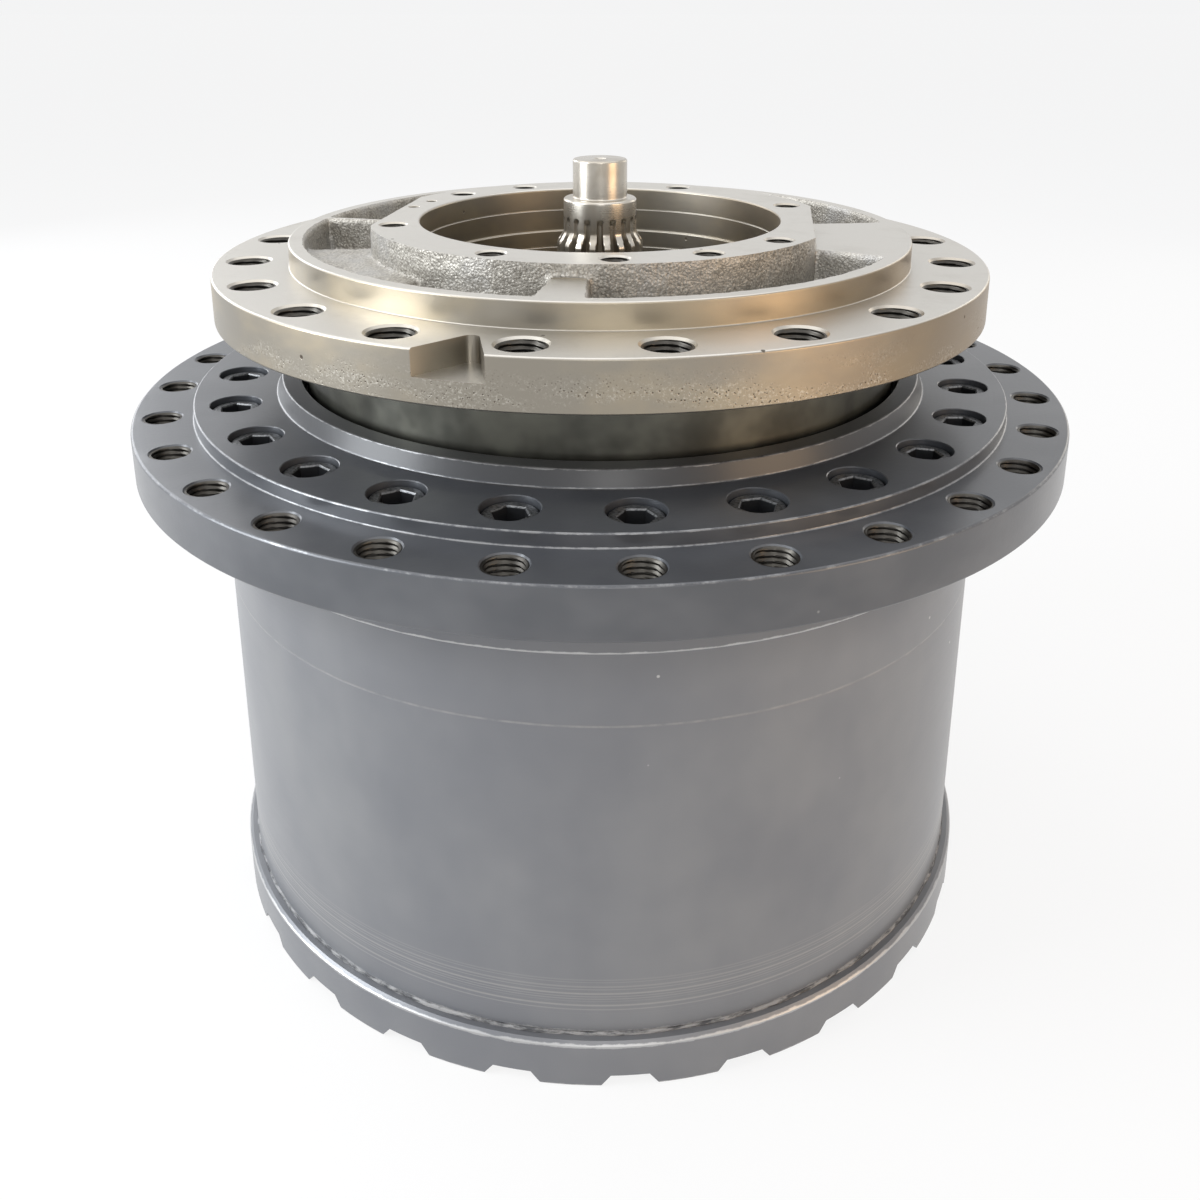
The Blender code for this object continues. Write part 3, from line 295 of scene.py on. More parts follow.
def drumPaint():
    look = {"paint": (0.168, 0.174, 0.189), "thin": (0.222, 0.226, 0.234), "bare": (0.50, 0.50, 0.50),
            "dust": (0.37, 0.36, 0.34), "shade": (0.075, 0.078, 0.085),
            "turning": 1.1, "drift": 0.006, "streak": (0.02, 0.008), "peel": 0.4, "cloud": 0.012,
            "broken": 0.1, "lines": 0.75, "chips": 0.03,
            "scribe": 190.0, "band": 47.0}
    f = Finish("drumPaint", Coat_Roughness=0.2)
    turning = f.turned(look["turning"], look["drift"], 4.0, 0.65)
    streak = f.grain(f.scaled(*look["streak"]))
    peel = f.grain(f.scaled(look["peel"]), 2.0, 0.5)
    cloud = f.grain(f.scaled(look["cloud"]))
    broken = f.broken(look["broken"])
    scribe = 1 - abs(f.z - look["scribe"] + (cloud - 0.5) * 0.8).ramp(0.2, 0.75)
    band = 1 - abs(f.z - look["band"]).ramp(6.0, 12.0)
    lines = band * f.grain(f.point(0.0, 0.0, f.z * look["lines"]), 1.0, 0.5).ramp(0.5, 0.62)
    edges = [(collarR, collarLow), (coverR, 0.0), (coverR, drumLow - 2.1), (drumR - 0.75, drumLow + 1.6)]
    worn = f.wear(edges, 1.4, broken.most(-0.3))
    # lighter band on the collar's lower slope, in the bare metal colour: painted highlight
    collarHighlight = (1 - abs(f.z - (collarLow - 1.0)).ramp(0.9, 2.0)) * f.radius.ramp(drumR + 0.75, drumR + 2.25)
    chips = 1 - f.cells(look["chips"]).ramp(0.014, 0.028)
    base = f.blend((cloud * 0.7 + streak * 0.35).ramp(0.35, 0.8), look["paint"], look["thin"])
    # darker towards the top of the drum, under the hub flange: painted shade
    base = f.blend(f.z.ramp(drumTop - 55.0, drumTop - 20.0) * 0.4, base, look["shade"])
    base = f.blend(lines * 0.45 + scribe * broken.ramp(-0.4, 0.6) * 0.4, base, look["dust"])
    base = f.blend(collarHighlight * 0.6, base, look["bare"])
    base = f.blend(worn.most(chips) * 0.8, base, look["bare"])
    rough = 0.34 + streak * 0.08 + turning * 0.06
    height = turning * 0.03 + peel * 0.02 - scribe * 0.08 - lines * 0.04
    return f.use(Base_Color=base, Roughness=rough, Metallic=0.45 + worn * 0.4,
                 Coat_Weight=0.3 - worn * 0.25, Normal=f.relief(height, 1.0))


def blackOxide():
    look = {"oxide": (0.055, 0.057, 0.062), "paintedHeadHighlight": (0.30, 0.305, 0.31), "fine": 0.8}
    f = Finish("blackOxide", Metallic=0.8)
    fine = f.grain(f.scaled(look["fine"]))
    # the top millimetre of the head is lighter and patchy, a little more on the top chamfer: painted
    # highlight
    edge = 1 - f.z.ramp(screwTop - 0.3, screwTop - 0.05)
    rim = f.z.ramp(screwTop - 1.1, screwTop - 0.2) * (0.6 + 0.2 * edge)
    base = f.blend(rim * fine.ramp(0.3, 0.6), look["oxide"], look["paintedHeadHighlight"])
    return f.use(Base_Color=base, Roughness=0.3 + fine * 0.2, Normal=f.relief(fine, 0.03))


def groundSteel(name, tone, filmAndWarmReflection, roughness):
    look = {"turning": 2.2, "drift": 0.01, "cloud": (0.05, 0.03)}
    f = Finish(name, Metallic=1.0)
    turning = f.turned(look["turning"], look["drift"])
    cloud = f.grain(f.scaled(*look["cloud"]))
    base = f.blend(cloud.ramp(0.4, 0.75) * 0.7, tone, filmAndWarmReflection)
    return f.use(Base_Color=base, Roughness=roughness + cloud * 0.12 + turning * 0.06,
                 Normal=f.relief(turning, 0.012))


def softRubber():
    look = {"black": (0.012, 0.012, 0.012), "grey": (0.03, 0.03, 0.03), "fine": 0.5}
    f = Finish("sealRubber", Metallic=0.0)
    fine = f.grain(f.scaled(look["fine"]))
    base = f.blend(fine, look["black"], look["grey"])
    return f.use(Base_Color=base, Roughness=0.6 + fine * 0.2, Normal=f.relief(fine, 0.05))


def gasketFinish():
    look = {"painted": (0.05, 0.052, 0.057), "clean": (0.30, 0.30, 0.30), "smear": (0.09, 0.5), "fine": 0.7}
    f = Finish("liquidGasket", Metallic=0.0)
    smear = f.grain(f.scaled(*look["smear"]), 4.0, 0.65)
    fine = f.grain(f.scaled(look["fine"]))
    base = f.blend(smear.ramp(0.4, 0.62), look["painted"], look["clean"])
    return f.use(Base_Color=base, Roughness=0.32 + fine * 0.2, Normal=f.relief(fine + smear, 0.3))


iron = bareIron()
cast = castIron()
neck = neckIronShaded()
slate = slatePaint()
drumCoat = drumPaint()
oxide = blackOxide()
steel = groundSteel("groundSteel", (0.52, 0.49, 0.44), (0.30, 0.25, 0.18), 0.2)
threadSteel = groundSteel("threadSteel", (0.085, 0.08, 0.072), (0.035, 0.032, 0.03), 0.3)
lapped = groundSteel("lappedSteel", (0.55, 0.55, 0.55), (0.42, 0.42, 0.43), 0.12)
brass = groundSteel("cageBrass", (0.62, 0.44, 0.18), (0.46, 0.31, 0.12), 0.28)
rubber = softRubber()
gasket = gasketFinish()
print("finishes made")


# meshes; every size is in mm until the mesh is written
def meshPiece(name, points, faces, material):
    mesh = bpy.data.meshes.new(name)
    mesh.from_pydata([(x * mm, y * mm, z * mm) for x, y, z in points], [], faces)
    bm = bmesh.new()
    bm.from_mesh(mesh)
    bmesh.ops.recalc_face_normals(bm, faces=bm.faces)
    bm.to_mesh(mesh)
    bm.free()
    mesh.materials.append(material)
    piece = bpy.data.objects.new(name, mesh)
    bpy.context.scene.collection.objects.link(piece)
    return piece


def stackFaces(rings, count, start=0, closed=False):
    pairs = [(i, i + 1) for i in range(rings - 1)]
    if closed:
        pairs.append((rings - 1, 0))
    faces = []
    for a, b in pairs:
        for i in range(count):
            j = (i + 1) % count
            faces.append((start + a * count + i, start + a * count + j,
                          start + b * count + j, start + b * count + i))
    if not closed:
        faces.append(tuple(start + i for i in range(count)))
        faces.append(tuple(start + (rings - 1) * count + i for i in range(count)))
    return faces


def ringsPiece(name, rings, material, closed=False):
    points = [point for ring in rings for point in ring]
    return meshPiece(name, points, stackFaces(len(rings), len(rings[0]), closed=closed), material)


def polar(radius, angle):
    return radius * cos(angle), radius * sin(angle)


def rotated(x, y, angle):
    return x * cos(angle) - y * sin(angle), x * sin(angle) + y * cos(angle)


def circle(radius, z, count, centre=(0.0, 0.0), turn=0.0):
    return [(centre[0] + radius * cos(turn + 2 * pi * i / count),
             centre[1] + radius * sin(turn + 2 * pi * i / count), z) for i in range(count)]


def softened(corners, steps=3):           # corners of a profile as radius, height, rounding
    outline = []
    for i, (r, z, rounding) in enumerate(corners):
        if not rounding:
            outline.append((r, z))
            continue
        here = Vector((r, z))
        before = (Vector(corners[i - 1][:2]) - here).normalized()
        after = (Vector(corners[(i + 1) % len(corners)][:2]) - here).normalized()
        half = before.angle(after) / 2
        centre = here + (before + after).normalized() * rounding / sin(half)
        start = here + before * rounding / tan(half) - centre
        end = here + after * rounding / tan(half) - centre
        for k in range(steps + 1):
            spot = centre + start.lerp(end, k / steps).normalized() * rounding
            outline.append((spot.x, spot.y))
    return outline


def turnedPiece(name, corners, count, material, closed=True):
    rings = [circle(r, z, count) for r, z in softened(corners)]
    return ringsPiece(name, rings, material, closed)


def prismPiece(name, outline, z0, z1, material):
    return ringsPiece(name, [[(x, y, z) for x, y in outline] for z in (z0, z1)], material)


def pegs(name, angles, circleR, profile, count, material):
    points, faces = [], []
    for angle in angles:
        start = len(points)
        for r, z in profile:
            points += circle(r, z, count, polar(circleR, angle), angle)
        faces += stackFaces(len(profile), count, start)
    return meshPiece(name, points, faces, material)


def evaluated(piece):
    graph = bpy.context.evaluated_depsgraph_get()
    old = piece.data
    result = bpy.data.meshes.new_from_object(piece.evaluated_get(graph))
    piece.modifiers.clear()
    piece.data = result
    bpy.data.meshes.remove(old)


def carve(piece, tool, operation="DIFFERENCE"):
    modifier = piece.modifiers.new("carve", "BOOLEAN")
    modifier.operation = operation
    modifier.solver = "EXACT"
    modifier.material_mode = "TRANSFER"
    modifier.object = tool
    evaluated(piece)
    bpy.data.objects.remove(tool)


def spread(count, start):
    return [radians(start) + 2 * pi * i / count for i in range(count)]


def threads(name, angles, circleR, size, z0, z1, body, material):
    count, rows = 28, ceil((z1 - z0) / size["pitch"] * 5)
    points, faces = [], []
    for angle in angles:
        start = len(points)
        centre = polar(circleR, angle)
        for row in range(rows + 1):
            z = z0 + (z1 - z0) * row / rows
            for k in range(count):
                phase = (z / size["pitch"] - k / count) % 1.0
                r = size["outer"] - size["depth"] * (1 - abs(2 * phase - 1))
                x, y = polar(r, 2 * pi * k / count)
                points.append((centre[0] + x, centre[1] + y, z))
        back = size["outer"] + gap
        points += circle(back, z1, count, centre) + circle(back, z0, count, centre)
        faces += stackFaces(rows + 3, count, start, closed=True)
    piece = meshPiece(name, points, faces, material)
    settle(piece, body, smooth=radians(60))


def settle(piece, body, *nodes, slot=None, smooth=radians(32)):
    piece.data.shade_smooth()
    piece.data.set_sharp_from_angle(angle=smooth)
    weighted = piece.modifiers.new("normals", "WEIGHTED_NORMAL")
    weighted.keep_sharp = True
    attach(piece, body)
    if nodes:
        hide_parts(*nodes)


# spindle: neck, frame flange, pilot disc and motor ring in one casting
spindleSize = {
    "count": 192,
    "neckR": 161.0, "neckFillet": 4.0, "skirtR": 156.0, "shoulderR": 139.7, "seatR": 129.7,
    "threadR": 124.0, "bossR": 76.0, "boreR": 58.0,
    "discR": 166.0, "rim": 8.5,
    "ringR": 124.0, "ringFlat": 114.5, "flatAngles": (-8.0, 172.0), "ringStock": 1.5,
    "wellR": 97.5, "wellStep": 2.0, "wellLevels": (26.0, 46.0), "wellDepth": 112.75,
    "wellLines": (13.0, 36.0), "line": 0.45,
    "frameHoles": 20, "frameStart": 260.35, "frameCircle": 187.5,
    "frameThread": {"outer": 10.9, "depth": 1.15, "pitch": 2.5},
    "motorCircle": 111.75, "motorAngles": (17.0, 64.0, 115.0, 138.0, 194.0, 243.0, 273.5, 297.0, 322.0),
    "motorThread": {"outer": 6.8, "depth": 0.85, "pitch": 1.75}, "motorDepth": 25.0,
    "dowelCircle": 109.75, "dowelR": 3.0, "dowelAngles": (154.0, 165.0), "dowelDepth": 12.0,
    "notchCorner": (-50.4, -167.4), "notchWalls": (222.4, 279.4), "notchMill": 4.0,
    "notchReach": 46.0, "notchDepth": 12.0,
    "sand": {"count": 120, "inner": 100.0, "outer": 174.0, "skin": 0.7, "above": 5.0, "under": 30.0,
             "voxel": 1.35, "smoothing": 5, "lumps": (0.14, 0.35), "grains": (0.45, 0.22)},
}
pockets = [                               # start and end in degrees, depth
    (170.0, 185.0, 18.0),
    (184.0, 227.0, 9.0),
    (226.0, 259.4, 18.0),
    (268.0, 331.0, 18.0),
    (6.0, 84.0, 18.0),
    (96.0, 168.0, 18.0),
]


def sectorPiece(start, end, inner, outer, z0, z1, material):
    steps = max(1, round((end - start) / 3))
    angles = [radians(start + (end - start) * i / steps) for i in range(steps + 1)]
    outline = [polar(outer, a) for a in angles] + [polar(inner, a) for a in reversed(angles)]
    return prismPiece("sector", outline, z0, z1, material)


def ringOutline(s):                       # a circle cut by two parallel flats
    half = acos(s["ringFlat"] / s["ringR"])
    outline = []
    for flat in s["flatAngles"]:
        start = radians(flat) + half
        outline += [polar(s["ringR"], start + (pi - 2 * half) * i / 48) for i in range(49)]
    return outline


def sandCore(s):                          # the sand that shapes the pockets and the ring's side
    sand = s["sand"]
    above = motorFace + sand["above"]
    low = discTop + sand["skin"]
    core = turnedPiece("core", [(sand["inner"], low, 0), (sand["outer"], low, 0),
                                (sand["outer"], above, 0), (sand["inner"], above, 0)], sand["count"], cast)
    for i, (start, end, depth) in enumerate(pockets):
        one = sectorPiece(start, end, sand["inner"] - 1.0, s["discR"] - s["rim"], discTop - depth,
                          above - 0.5 - 0.1 * i, cast)
        carve(core, one, "UNION")
    carve(core, prismPiece("ring", ringOutline(s), discTop - sand["under"], above + 1.0, cast))
    grain = core.modifiers.new("grain", "REMESH")
    grain.mode = "VOXEL"
    grain.voxel_size = sand["voxel"] * mm
    smooth = core.modifiers.new("smooth", "SMOOTH")
    smooth.iterations = sand["smoothing"]
    evaluated(core)
    normals = [corner.vector.copy() for corner in core.data.vertex_normals]
    for vertex, normal in zip(core.data.vertices, normals):
        bumps = 0.0
        for perMm, height in (sand["lumps"], sand["grains"]):
            bumps += noise.noise(vertex.co / mm * perMm) * height
        vertex.co += normal * bumps * mm
    return core


def makeSpindle(s):
    bearingLow = lowOf("bearing_inner_lower")
    bearingTop = topOf("bearing_inner_upper") + gap
    skirtTop = topOf("seal_ring_upper") + gap
    low = lowOf("spindle")
    bossEnd = lowOf("retaining_nut") + 0.7
    well = [motorFace - depth for depth in s["wellLevels"]]
    floor = motorFace - s["wellDepth"]
    wellR = [s["wellR"] - s["wellStep"] * i for i in range(3)]
    stock = s["ringR"] + s["ringStock"]
    lines = [motorFace - depth for depth in s["wellLines"]]
    cut = s["line"]
    piece = turnedPiece("spindleBody", [
        (s["boreR"], low, 0.6), (s["bossR"], low, 0.8), (s["bossR"], bossEnd, 0),
        (s["threadR"], bossEnd, 0.8),
        (s["threadR"], bearingLow, 0.4), (s["seatR"], bearingLow, 0.8), (s["seatR"], bearingTop, 0.5),
        (s["shoulderR"], bearingTop, 0.8), (s["shoulderR"], skirtTop, 0.8), (s["skirtR"], skirtTop, 0.8),
        (s["skirtR"], neckLow, 0.6), (s["neckR"], neckLow, 0.6), (s["neckR"], frameLow, s["neckFillet"]),
        (frameR, frameLow, 0.9), (frameR, frameTop, 1.1), (s["discR"], frameTop, 0.6),
        (s["discR"], discTop, 1.0), (stock, discTop, 0), (stock, motorFace, 0),
        (wellR[0], motorFace, 1.3),
        (wellR[0], lines[0] + cut, 0), (wellR[0] + cut, lines[0], 0), (wellR[0], lines[0] - cut, 0),
        (wellR[0], well[0], 0.3), (wellR[1], well[0], 0.5),
        (wellR[1], lines[1] + cut, 0), (wellR[1] + cut, lines[1], 0), (wellR[1], lines[1] - cut, 0),
        (wellR[1], well[1], 0.3), (wellR[2], well[1], 0.5), (wellR[2], floor, 2.0),
        (s["boreR"], floor, 0.8)], s["count"], iron)
    near, away, half = s["ringFlat"] + 1.0, s["ringR"] + 10.0, 60.0
    for flat in s["flatAngles"]:
        reach = [(near, -half), (away, -half), (away, half), (near, half)]
        outline = [rotated(x, y, radians(flat)) for x, y in reach]
        carve(piece, prismPiece("flat", outline, discTop, motorFace + 4.0, iron))
    carve(piece, sandCore(s))
    hole = s["frameThread"]["outer"]
    carve(piece, pegs("frameHoles", spread(s["frameHoles"], s["frameStart"]), s["frameCircle"], [
        (hole + 2.0, frameLow - 1.0), (hole + 0.05, frameLow + 0.9), (hole + 0.05, frameTop - 1.1),
        (hole + 2.2, frameTop + 1.0)], 48, iron))
    angles = [radians(a) for a in s["motorAngles"]]
    hole = s["motorThread"]["outer"]
    bottom = motorFace - s["motorDepth"]
    carve(piece, pegs("motorHoles", angles, s["motorCircle"], [
        (0.4, bottom - 3.6), (hole + 0.05, bottom), (hole + 0.05, motorFace - 0.9),
        (hole + 1.9, motorFace + 1.0)], 40, iron))
    dowels = [radians(a) for a in s["dowelAngles"]]
    carve(piece, pegs("dowels", dowels, s["dowelCircle"], [
        (0.3, motorFace - s["dowelDepth"] - 1.5), (s["dowelR"], motorFace - s["dowelDepth"]),
        (s["dowelR"], motorFace - 0.4), (s["dowelR"] + 1.4, motorFace + 1.0)], 24, iron))
    carve(piece, notchTool(s))
    # the neck faces under the frame flange take the darker neck iron: painted shade
    piece.data.materials.append(neck)
    neckSlot = len(piece.data.materials) - 1
    for face in piece.data.polygons:
        centre = face.center / mm
        radius = hypot(centre.x, centre.y)
        if centre.z < frameLow + 0.2 and s["skirtR"] < radius < s["neckR"] + s["neckFillet"]:
            face.material_index = neckSlot
    settle(piece, "spindle_body", "spindle", slot="machined_iron")
    threads("frameThreads", spread(s["frameHoles"], s["frameStart"]), s["frameCircle"], s["frameThread"],
            frameLow + 0.9, frameTop - 1.1, "spindle_body", threadSteel)
    threads("motorThreads", angles, s["motorCircle"], s["motorThread"], bottom + 2.0, motorFace - 0.9,
            "spindle_body", threadSteel)


def notchTool(s):                         # end-milled corner, open to the rim
    corner = Vector(s["notchCorner"])
    first, last = [corner + Vector(polar(s["notchReach"], radians(wall))) for wall in s["notchWalls"]]
    far = first + last - corner
    outline = softened([(*corner, s["notchMill"]), (*first, 0), (*far, 0), (*last, 0)], 6)
    return prismPiece("notch", outline, frameTop - s["notchDepth"], frameTop + 2.0, iron)


makeSpindle(spindleSize)
print("spindle made")


# hub: sprocket flange, pilot step, seal boss and bearing spigot
hubSize = {
    "count": 224,
    "bossBoreDepth": 9.0, "sealR": 156.0, "webR": 148.0, "raceR": 170.3, "shoulderR": 162.3, "spigotR": 184.0,
    "sprocketHoles": 28, "sprocketStart": 273.95, "sprocketCircle": 235.0,
    "sprocketThread": {"outer": 9.5, "depth": 1.1, "pitch": 2.5},
    "screws": 24, "screwStart": 274.3, "screwCircle": 198.5, "boreR": 12.85, "shankR": 8.5,
}
screwSize = {"headR": 12.0, "head": 19.1, "shankR": 8.0, "length": 30.0, "key": 14.0,
             "keyDepth": 8.0, "chamfer": 1.0, "tip": 1.2}


def makeHub(s):
    webLow = lowOf("hub")
    raceTop = topOf("bearing_outer_upper") + gap
    lowerTop = topOf("bearing_outer_lower") + gap
    upperLow = lowOf("bearing_outer_upper") - gap
    sealLow = lowOf("seal_ring_lower") - gap
    bossBore = neckLow - s["bossBoreDepth"]
    piece = turnedPiece("hubBody", [
        (s["raceR"], webLow, 0.8), (s["spigotR"], webLow, 0.8), (s["spigotR"], flangeLow, 0.6),
        (flangeR, flangeLow, 1.3), (flangeR, flangeTop, 1.3), (pilotR, flangeTop, 0.8),
        (pilotR, pilotTop, 0.9), (bossFootR, pilotTop, 0.9), (bossR, bossTop, 0.9),
        (bossBoreR, bossTop, 0.7), (bossBoreR, bossBore, 0.5), (s["sealR"], bossBore, 0.6),
        (s["sealR"], sealLow, 0.6), (s["webR"], sealLow, 0.8), (s["webR"], raceTop, 0.8),
        (s["raceR"], raceTop, 0.4), (s["raceR"], upperLow, 0.4), (s["shoulderR"], upperLow, 0.8),
        (s["shoulderR"], lowerTop, 0.8), (s["raceR"], lowerTop, 0.4)], s["count"], slate)
    hole = s["sprocketThread"]["outer"]
    carve(piece, pegs("sprocketHoles", spread(s["sprocketHoles"], s["sprocketStart"]), s["sprocketCircle"], [
        (hole + 2.0, flangeLow - 1.0), (hole + 0.05, flangeLow + 0.9), (hole + 0.05, flangeTop - 0.7),
        (hole + 1.7, flangeTop + 1.0)], 44, slate))
    seat = screwTop - screwSize["head"] - gap
    carve(piece, pegs("counterbores", spread(s["screws"], s["screwStart"]), s["screwCircle"], [
        (s["shankR"], flangeLow - 1.0), (s["shankR"], seat), (s["boreR"], seat), (s["boreR"], pilotTop - 0.4),
        (s["boreR"] + 1.2, pilotTop + 0.8)], 48, slate))
    settle(piece, "hub_body", "hub", slot="slate_paint")
    threads("sprocketThreads", spread(s["sprocketHoles"], s["sprocketStart"]), s["sprocketCircle"],
            s["sprocketThread"], flangeLow + 0.9, flangeTop - 0.7, "hub_body", threadSteel)


def makeScrews(s, hub):
    top = screwTop
    seat = top - s["head"]
    centre = polar(hub["screwCircle"], radians(hub["screwStart"]))
    end = seat - s["length"]
    profile = softened([(s["shankR"] - s["tip"], end, 0), (s["shankR"], end + s["tip"], 0),
                        (s["shankR"], seat, 0), (s["headR"], seat, 0.4),
                        (s["headR"], top, s["chamfer"]), (s["headR"] * 0.5, top, 0)])
    first = ringsPiece("hubScrew", [circle(r, z, 48, centre) for r, z in profile], oxide)
    across = s["key"] / 2 / cos(pi / 6)
    floor = top - s["keyDepth"]
    key = [(0.4, floor - 2.2), (across * 0.96, floor), (across, top - 0.7), (across + 2.0, top + 1.3)]
    carve(first, ringsPiece("socket", [circle(r, z, 6, centre) for r, z in key], oxide))
    first.data.shade_smooth()
    first.data.set_sharp_from_angle(angle=radians(32))
    for i in range(hub["screws"]):
        piece = bpy.data.objects.new(f"hubScrew{i + 1:02d}", first.data)
        bpy.context.scene.collection.objects.link(piece)
        piece.rotation_euler.z = 2 * pi * i / hub["screws"]
        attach(piece, "hub_body")
        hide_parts(f"hub_screw_{i + 1:02d}")
    bpy.data.objects.remove(first)


makeHub(hubSize)
makeScrews(screwSize, hubSize)
print("hub and screws made")


# gears: one module for both stages
gearSize = {"module": 7.0, "pressure": radians(20), "addendum": 0.92, "dedendum": 1.2, "play": 0.6,
            "ring": 48, "sun": 12, "planet": 18, "flank": 5, "endChamfer": 1.2}


def involute(angle):
    return tan(angle) - angle


def halfTooth(g, radius, teeth, play):
    pitchR = g["module"] * teeth / 2
    baseR = pitchR * cos(g["pressure"])
    atPitch = (pi * g["module"] / 2 - play) / 2 / pitchR
    return atPitch + involute(g["pressure"]) - involute(acos(min(1.0, baseR / radius)))


def gearRing(g, teeth, rootR, tipR, z, turn=0.0, centre=(0.0, 0.0), play=None):
    play = g["play"] if play is None else play
    radii = [rootR + (tipR - rootR) * k / (g["flank"] - 1) for k in range(g["flank"])]
    ring = []
    for i in range(teeth):
        middle = turn + 2 * pi * i / teeth
        for side, order in ((-1, radii), (1, radii[::-1])):
            for r in order:
                x, y = polar(r, middle + side * halfTooth(g, r, teeth, play))
                ring.append((centre[0] + x, centre[1] + y, z))
    return ring


def planetTurn(g, angle):
    return angle - (2 * pi / g["planet"]) * (0.5 + angle * g["ring"] / (2 * pi))


def sunTurn(g, angle):
    phase = 0.5 - (angle + pi - planetTurn(g, angle)) * g["planet"] / (2 * pi)
    return angle - (2 * pi / g["sun"]) * phase


def gearBody(name, g, teeth, turn, centre, z0, z1, boreR, material):
    root = g["module"] * (teeth / 2 - g["dedendum"])
    tip = g["module"] * (teeth / 2 + g["addendum"])
    chamfer = g["endChamfer"]
    rings = [gearRing(g, teeth, root, tip - chamfer, z0, turn, centre),
             gearRing(g, teeth, root, tip, z0 + chamfer, turn, centre),
             gearRing(g, teeth, root, tip, z1 - chamfer, turn, centre),
             gearRing(g, teeth, root, tip - chamfer, z1, turn, centre)]
    if not boreR:
        return ringsPiece(name, rings, material)
    count = len(rings[0])
    start = turn - halfTooth(g, root, teeth, g["play"])
    for r, z in ((boreR + 1.0, z1), (boreR, z1 - 1.0), (boreR, z0 + 1.0), (boreR + 1.0, z0)):
        rings.append(circle(r, z, count, centre, start))
    return ringsPiece(name, rings, material, closed=True)


planetStages = {                          # angle of the first planet, bore radius
    "output_planet": (pi / 2, 20.9),
    "input_planet": (pi / 6, 18.9),
}


def makePlanets(g):
    centreR = g["module"] * (g["sun"] + g["planet"]) / 2
    for stage, (first, boreR) in planetStages.items():
        for i in range(3):
            angle = first + 2 * pi * i / 3
            node = f"{stage}_{i + 1}"
            piece = gearBody(node + "Gear", g, g["planet"], planetTurn(g, angle), polar(centreR, angle),
                             lowOf(node), topOf(node), boreR, steel)
            settle(piece, node + "_body", node, slot="ground_steel")


outputSunSize = {"boreR": 24.0, "coreR": 10.0, "teethEnd": 20.0, "relief": 1.7, "foot": 2.0}


def makeOutputSun(s, g):
    low, top = lowOf("output_sun"), topOf("output_sun")
    firstAngle = planetStages["output_planet"][0]
    piece = gearBody("outputSun", g, g["sun"], sunTurn(g, firstAngle), (0.0, 0.0),
                     topOf("input_carrier") + s["foot"], top, 0.0, steel)
    hubR = g["module"] * (g["sun"] / 2 - g["dedendum"]) - s["relief"]
    hubTop = top - s["teethEnd"]
    carve(piece, turnedPiece("hub", [(s["coreR"], low, 0), (hubR, low, 0.6), (hubR, hubTop, 0),
                                     (s["coreR"], hubTop, 0)], 96, steel), "UNION")
    carve(piece, turnedPiece("bore", [(s["boreR"], low - 1.0, 0), (s["boreR"], top + 1.0, 0)], 96, steel,
                             closed=False))
    settle(piece, "input_carrier_body", "output_sun", slot="ground_steel")


makePlanets(gearSize)
makeOutputSun(outputSunSize, gearSize)
print("gears made")


# ring gear drum: turned outside, teeth inside
drumSize = {"collarSlope": 3.0, "spigotR": 184.3, "jointR": 177.9, "toothLow": 8.0, "toothRunout": 4.0,
            "lowChamfer": 1.6}


def makeDrum(s, g):
    root = g["module"] * (g["ring"] / 2 + g["dedendum"])
    tip = g["module"] * (g["ring"] / 2 - g["addendum"])
    toothLow = drumLow - gap + s["toothLow"]
    toothTop = topOf("output_planet_1") + s["toothRunout"]
    chamfer = g["endChamfer"]
    teeth = []
    for z, inner in ((toothTop, tip + chamfer), (toothTop - chamfer, tip), (toothLow + chamfer, tip),
                     (toothLow, tip + chamfer)):
        teeth.append(gearRing(g, g["ring"], inner, root, z, pi / g["ring"], play=-g["play"]))
    count = len(teeth[0])
    start = atan2(teeth[0][0][1], teeth[0][0][0])
    outside = softened([
        (drumR - s["lowChamfer"], drumLow, 0.3), (drumR, drumLow + s["lowChamfer"], 0.5),
        (drumR, collarLow - s["collarSlope"], 3.0), (collarR, collarLow, 1.5),
        (collarR, drumTop, 0.8), (s["spigotR"], drumTop, 0.8)])
    rings = [circle(r, z, count, turn=start) for r, z in outside]
    rings.append(circle(s["spigotR"], toothTop, count, turn=start))
    rings += teeth
    rings.append(circle(s["jointR"], toothLow, count, turn=start))
    rings.append(circle(s["jointR"], drumLow, count, turn=start))
    piece = ringsPiece("ringGearDrum", rings, drumCoat, closed=True)
    piece.data.materials.append(steel)
    for face in piece.data.polygons:
        centre = face.center / mm
        if hypot(centre.x, centre.y) < s["spigotR"] - 0.1 and centre.z > drumLow + 0.2:
            face.material_index = 1
    settle(piece, "hub_body", "ring_gear", slot="slate_paint_drum")


makeDrum(drumSize, gearSize)
print("drum made")


# end cover: castellated rim, recessed middle, oil plugs and the gasket squeezed from its joint
coverSize = {
    "count": 240, "chamfer": 1.8, "recess": 5.0, "padIn": 162.0, "padSlope": 2.0,
    "spigotR": 177.6, "spigot": 6.0, "spigotWall": 10.0, "spigotSlope": 5.0, "floor": 24.0,
    "notches": 24, "notchStart": 273.8, "depth": 6.25, "mouth": 27.9, "roof": 18.2, "runout": 8.0,
    "plugs": {"drain_plug": 258.75, "level_plug": 348.75, "filler_plug": 78.75},
    "plugCircle": 112.0, "plugR": 12.0, "plugKey": 10.0, "keyDepth": 7.0, "middleR": 20.0,
}


